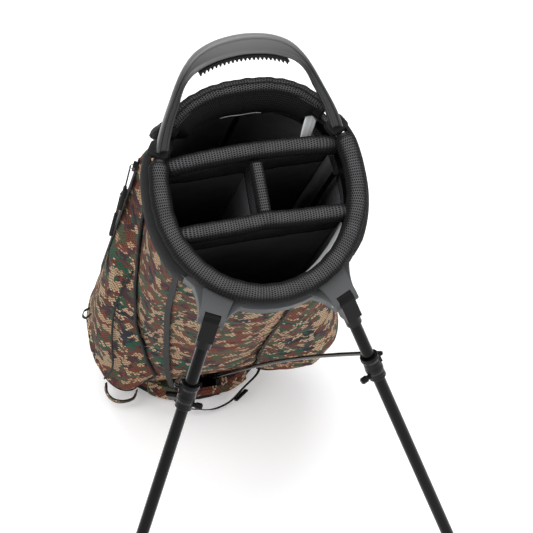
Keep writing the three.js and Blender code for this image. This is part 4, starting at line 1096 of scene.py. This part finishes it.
def hip_pad():
    """Padded mesh panel on the carry side, with two sewn channels and a bound edge."""
    rows, cols = 60, 90
    spread = 39.5
    s = np.linspace(-1, 1, cols)[None]
    t = np.linspace(0, 1, rows)[:, None]
    s, t = np.broadcast_arrays(s, t)
    up = 251 + 182 * t
    level = np.abs(t * 2 - 1)
    wide = (1 - np.clip(level - 0.55, 0, 1) ** 2 / 0.45 ** 2 * 0.42) * math.radians(spread)
    turn = -math.pi / 2 + s * wide
    edge = np.clip(1 - np.abs(s) ** 5, 0, 1) * np.clip(1 - level ** 7, 0, 1)
    channels = 1 - 0.35 * np.exp(-((np.abs(s) - 0.36) / 0.035) ** 2)
    radius = bag_radius(turn, up) + 3.0 + 14.2 * edge ** 0.5 * channels
    points = np.stack([radius * np.cos(turn), radius * np.sin(turn), up], -1)
    piece("mesh_hip_pad", grid("mesh_hip_pad", points), MESH, ["hip_pad"])
    ring = np.concatenate([points[0], points[1:, -1], points[-1, -2::-1], points[-2:0:-1, 0]])
    ring = on_bag(np.arctan2(ring[:, 1], ring[:, 0]), ring[:, 2], 3.2)
    tube("hip_pad_binding", np.concatenate([ring, ring[:1]]), 2.2, BINDING, ends=False)


def smooth_step(t, low, high):
    share = np.clip((t - low) / (high - low), 0, 1)
    return share ** 2 * (3 - 2 * share)


def shoulder_strap():
    """Padded strap down the carry side: narrow at its top, bound along both edges, with a tab at each end."""
    face = lambda p: (p[0] * 0.4, p[1], 0)
    count = 120
    line = catmull([(-80, -103, 848), (-79, -112, 822), (-70, -123, 760), (-55, -134, 680), (-38, -140, 600),
                    (-22, -140, 520), (-8, -137, 462), (-4, -134, 446)], count)
    t = np.linspace(0, 1, count)
    width = 0.45 + 0.55 * smooth_step(t, 0.1, 0.36) * (1 - smooth_step(t, 0.8, 1.0))
    lumps = 1 + 0.05 * ripple(t * 560, t * 0, 40, 1, 2.2)
    scale = np.stack([width * lumps, width * np.where((t > 0.08) & (t < 0.9), 1.0, 0.62)], 1)
    rows = swept(line, rounded(57, 11.5, 5.4, 6), face, scale)
    solid("mesh_shoulder_strap", rows, MESH, "shoulder_strap")
    for k, sign in enumerate((-1, 1)):
        edge = swept(line, [(sign * 28.2, 0)], face, scale)[:, 0]
        tube(f"shoulder_strap_binding_{k}", edge[2:-2:2], 2.0, BINDING)
    for name, path in (("top", [(-79, -97, 858), (-80, -103, 842), (-79, -113, 818)]),
                       ("low", [(-7, -138, 458), (-4, -132, 442), (-2, -121, 436)])):
        ribbon("shoulder_strap_tab_" + name, path, 24, 2.2, face, WEBBING, 24, slot="webbing")


hip_pad()
shoulder_strap()


# ---------------------------------------------------------------- zips
ZIPS = {  # each zip's upper end, lower end and outward direction
    "apparel": ((-123, -70, 800), (-145.5, -24, 450), (-0.9, -0.35, 0)),
    "ball": ((137, -10, 446), (159.5, -10, 334), (0.98, 0, 0.2)),
}
TOOTH_PITCH = 2.6
BOX_FACES = ((0, 3, 2, 1), (4, 5, 6, 7), (0, 1, 5, 4), (1, 2, 6, 5), (2, 3, 7, 6), (3, 0, 4, 7))


def zip_frame(name):
    """A zip's ends and its directions: along it, across it and out of it."""
    start, end, face = [np.array(v, float) for v in ZIPS[name]]
    face = unit(face)
    along = unit(end - start)
    return start, end, along, unit(np.cross(along, face)), face


def zip_track(name):
    """Two tapes and two staggered rows of teeth."""
    start, end, along, side, face = zip_frame(name)
    for sign, letter in ((-1, "a"), (1, "b")):
        shift = side * sign * 4.4 - face * 0.6
        path = [start - along * 5 + shift, end + along * 5 + shift]
        nodes_replaced = [f"{name}_zip_track"] if sign < 0 else []
        ribbon(f"{name}_zip_tape_{letter}", path, 6.4, 1.4, face, BINDING, 60, *nodes_replaced)
    verts, faces = [], []
    for i in range(int(np.linalg.norm(end - start) / TOOTH_PITCH)):
        centre = start + along * (2 + i * TOOTH_PITCH) + side * (0.9 if i % 2 else -0.9) - face * 0.2
        a, b, c = along * 0.95, side * 1.9, face * 0.9
        faces += [[len(verts) + k for k in f] for f in BOX_FACES]
        verts += [centre + a * x + b * y + c * z
                  for z in (-1, 1) for x, y in ((-1, -1), (1, -1), (1, 1), (-1, 1))]
    mesh = bpy.data.meshes.new(f"{name}_zip_teeth")
    mesh.from_pydata(to_row(np.array(verts)).tolist(), [], faces)
    facing_out(mesh)
    piece(f"{name}_zip_teeth", mesh, BLACK)


def zip_pull(body, zip_name, offset, length):
    """A slider with its wire bail, a doubled cord and a ribbed rubber grip."""
    start, _, along, side, face = zip_frame(zip_name)
    seat = start + along * offset + face * 2.4
    moulded(f"{body}_slider", BLACK, 0.7)
    half = [(2.0, 1.5, 2.6), (3.6, 2.0, 2.6), (4.6, 6, 1.6)]
    bail = half + [(out, run, -across) for out, run, across in half[::-1]]
    bail = [seat + face * out + along * run + side * across for out, run, across in bail]
    tube(f"{body}_bail", catmull(bail, 24), 0.75, STEEL, body=body)
    top = seat + face * 4.4 + along * 4
    hang = unit(along * 0.74 + (0, 0.5, 0) + face * 0.17) * length
    for sign, letter in ((1, "a"), (-1, "b")):
        cord = [top + hang * share + side * sign * across
                for share, across in ((0, 0.9), (0.3, 1.4), (0.6, 1.1))]
        tube(f"{body}_cord_{letter}", catmull(cord, 24), 0.95, WEBBING, body=body)
    t = np.linspace(0, 1, 40)
    line = top + hang * (0.46 + 0.53 * t)[:, None]
    ribs = 1 - 0.09 * (np.sin(t * 50) > 0.2)
    scale = (0.86 + 0.2 * t) * np.clip(np.minimum(t, 1 - t) * 16 + 0.45, 0, 1) * ribs
    rows = swept(line, rounded(8.6, 5.0, 1.8, 4), face, scale)
    solid(f"{body}_grip", rows, RUBBER, f"{body}_pull", body=body)


for zip_name in ZIPS:
    zip_track(zip_name)
zip_pull("apparel_zip_upper", "apparel", 6, 66)
zip_pull("apparel_zip_lower", "apparel", 96, 66)
zip_pull("ball_zip", "ball", 5, 56)


# ---------------------------------------------------------------- care label and hardware
def care_label():
    """White tape hanging from the mouth's facing behind the rear bar."""
    line = catmull([(82, -88, 869), (78, -79, 868), (72.5, -67, 861), (68, -55, 848)], 30)
    rows = swept(line, [(s, 0.15 * math.sin(s)) for s in np.linspace(-8, 8, 12)], (0.5, 0.3, 1.0))
    made = piece("cloth_care_label", grid("cloth_care_label", rows), TAPE, ["rim_care_label"])
    thicken(made, 0.5)


care_label()


def toe_cover():
    """Padded camouflage cover: the CAD's toe with rounded edges and cloth on it."""
    node = nodes["foot_toe_cover"]
    mesh = node.data.copy()
    mesh.name = "fabric_toe_cover"
    made = bpy.data.objects.new("fabric_toe_cover", mesh)
    made.matrix_world = node.matrix_world
    bpy.context.scene.collection.objects.link(made)
    mesh.materials.clear()
    mesh.materials.append(CAMO)
    uv = mesh.uv_layers[0] if mesh.uv_layers else mesh.uv_layers.new(name="UVMap")
    uv.name = "UVMap"
    for loop in mesh.loops:
        co = mesh.vertices[loop.vertex_index].co
        uv.data[loop.index].uv = (co.x, co.y - co.z)
    soft = made.modifiers.new("edges", "BEVEL")
    soft.width = 2.5 * MM
    soft.segments = 3
    soft.limit_method = "ANGLE"
    soft.angle_limit = math.radians(35)
    mesh.shade_smooth()
    mesh.set_sharp_from_angle(angle=math.radians(60))
    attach(made, "foot")
    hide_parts("foot_toe_cover")


toe_cover()

HARD = {  # CAD nodes kept as they are: material, and edge radius in millimetres
    "leg_yoke": (GREY, 1.2), "base_cup": (BLACK, 1.0), "collar_frame": (BLACK, 0.8),
    "rod_saddle": (BLACK, 0.8), "foot_sole_plate": (RUBBER, 1.2), "foot_hinge_pin": (STEEL, 0.3),
    "handle_grip_insert": (RUBBER, 0.5), "stay_rear": (BLACK, 0.2),
}
for side in ("left", "right"):
    leg = f"leg_{side}_"
    HARD.update({
        f"leg_pivot_pin_{side}": (STEEL, 0.3), f"stay_{side}": (BLACK, 0.2), f"push_rod_{side}": (GLOSS, 0),
        leg + "knuckle": (BLACK, 1.6), leg + "tube": (GLOSS, 0.3), leg + "rod_clamp": (BLACK, 0.5),
        leg + "clamp_peg": (BLACK, 0.3), leg + "foot": (RUBBER, 0.8),
    })
for name, (material, bevel) in HARD.items():
    moulded(name, material, bevel)


# ---------------------------------------------------------------- floor, light and camera
VIEW_AZIMUTH = math.radians(-12.86)
VIEW_ELEVATION = math.radians(43.79)
VIEW_ROLL = math.radians(0.41)
VIEW_DISTANCE = 3.5468
VIEW_TARGET = Vector((0.0092, -0.4158, 0.6030))
VIEW_LENS = 203.5


def camera():
    """A long lens at the given angle, looking down into the mouth."""
    data = bpy.data.cameras.new("camera")
    data.lens = VIEW_LENS
    data.sensor_width = 36
    data.clip_end = 60
    obj = bpy.data.objects.new("camera", data)
    bpy.context.scene.collection.objects.link(obj)
    a, e = VIEW_AZIMUTH, VIEW_ELEVATION
    back = Vector((math.sin(a) * math.cos(e), -math.cos(a) * math.cos(e), math.sin(e)))
    right = Vector((math.cos(a), math.sin(a), 0))
    up = back.cross(right)
    roll_right = right * math.cos(VIEW_ROLL) + up * math.sin(VIEW_ROLL)
    roll_up = up * math.cos(VIEW_ROLL) - right * math.sin(VIEW_ROLL)
    turn = Matrix((roll_right, roll_up, back)).transposed().to_4x4()
    obj.matrix_world = Matrix.Translation(VIEW_TARGET + back * VIEW_DISTANCE) @ turn
    bpy.context.scene.camera = obj


def area_light(name, place, aim, size, power):
    data = bpy.data.lights.new(name, "AREA")
    data.shape = "RECTANGLE"
    data.size, data.size_y = size
    data.energy = power
    obj = bpy.data.objects.new(name, data)
    obj.location = place
    obj.rotation_mode = "QUATERNION"
    obj.rotation_quaternion = (Vector(aim) - Vector(place)).to_track_quat("-Z", "Y")
    bpy.context.scene.collection.objects.link(obj)


def studio():
    """Pale floor, even sky and three soft lights."""
    half = 9.0
    mesh = bpy.data.meshes.new("floor")
    corners = [(-half, -half, 0), (half, -half, 0), (half, half, 0), (-half, half, 0)]
    mesh.from_pydata(corners, [], [(0, 1, 2, 3)])
    shade = Shade("floor_paint", Roughness=0.9, Emission_Strength=0.2)
    pale, paler = (0.93, 0.93, 0.93, 1), (0.95, 0.95, 0.95, 1)
    shade.paint(shade.mix(shade.noise(shade.place(), 3.0), pale, paler))
    floor = piece("floor", mesh, shade.material, body=None)
    floor.location.z = -0.0006
    world = bpy.data.worlds.new("studio")
    world.use_nodes = True
    world.node_tree.nodes["Background"].inputs[0].default_value = (0.97, 0.98, 1.0, 1)
    world.node_tree.nodes["Background"].inputs[1].default_value = 0.62
    bpy.context.scene.world = world
    middle = (0, -0.3, 0.5)
    area_light("key", (-1.6, -1.5, 3.4), middle, (2.4, 2.4), 75)
    area_light("fill", (2.6, -1.8, 2.2), middle, (2.0, 2.6), 35)
    area_light("top", (0.2, 0.9, 3.2), middle, (2.5, 1.6), 45)
    scene = bpy.context.scene
    scene.view_settings.view_transform = "Standard"
    scene.view_settings.look = "None"


camera()
studio()
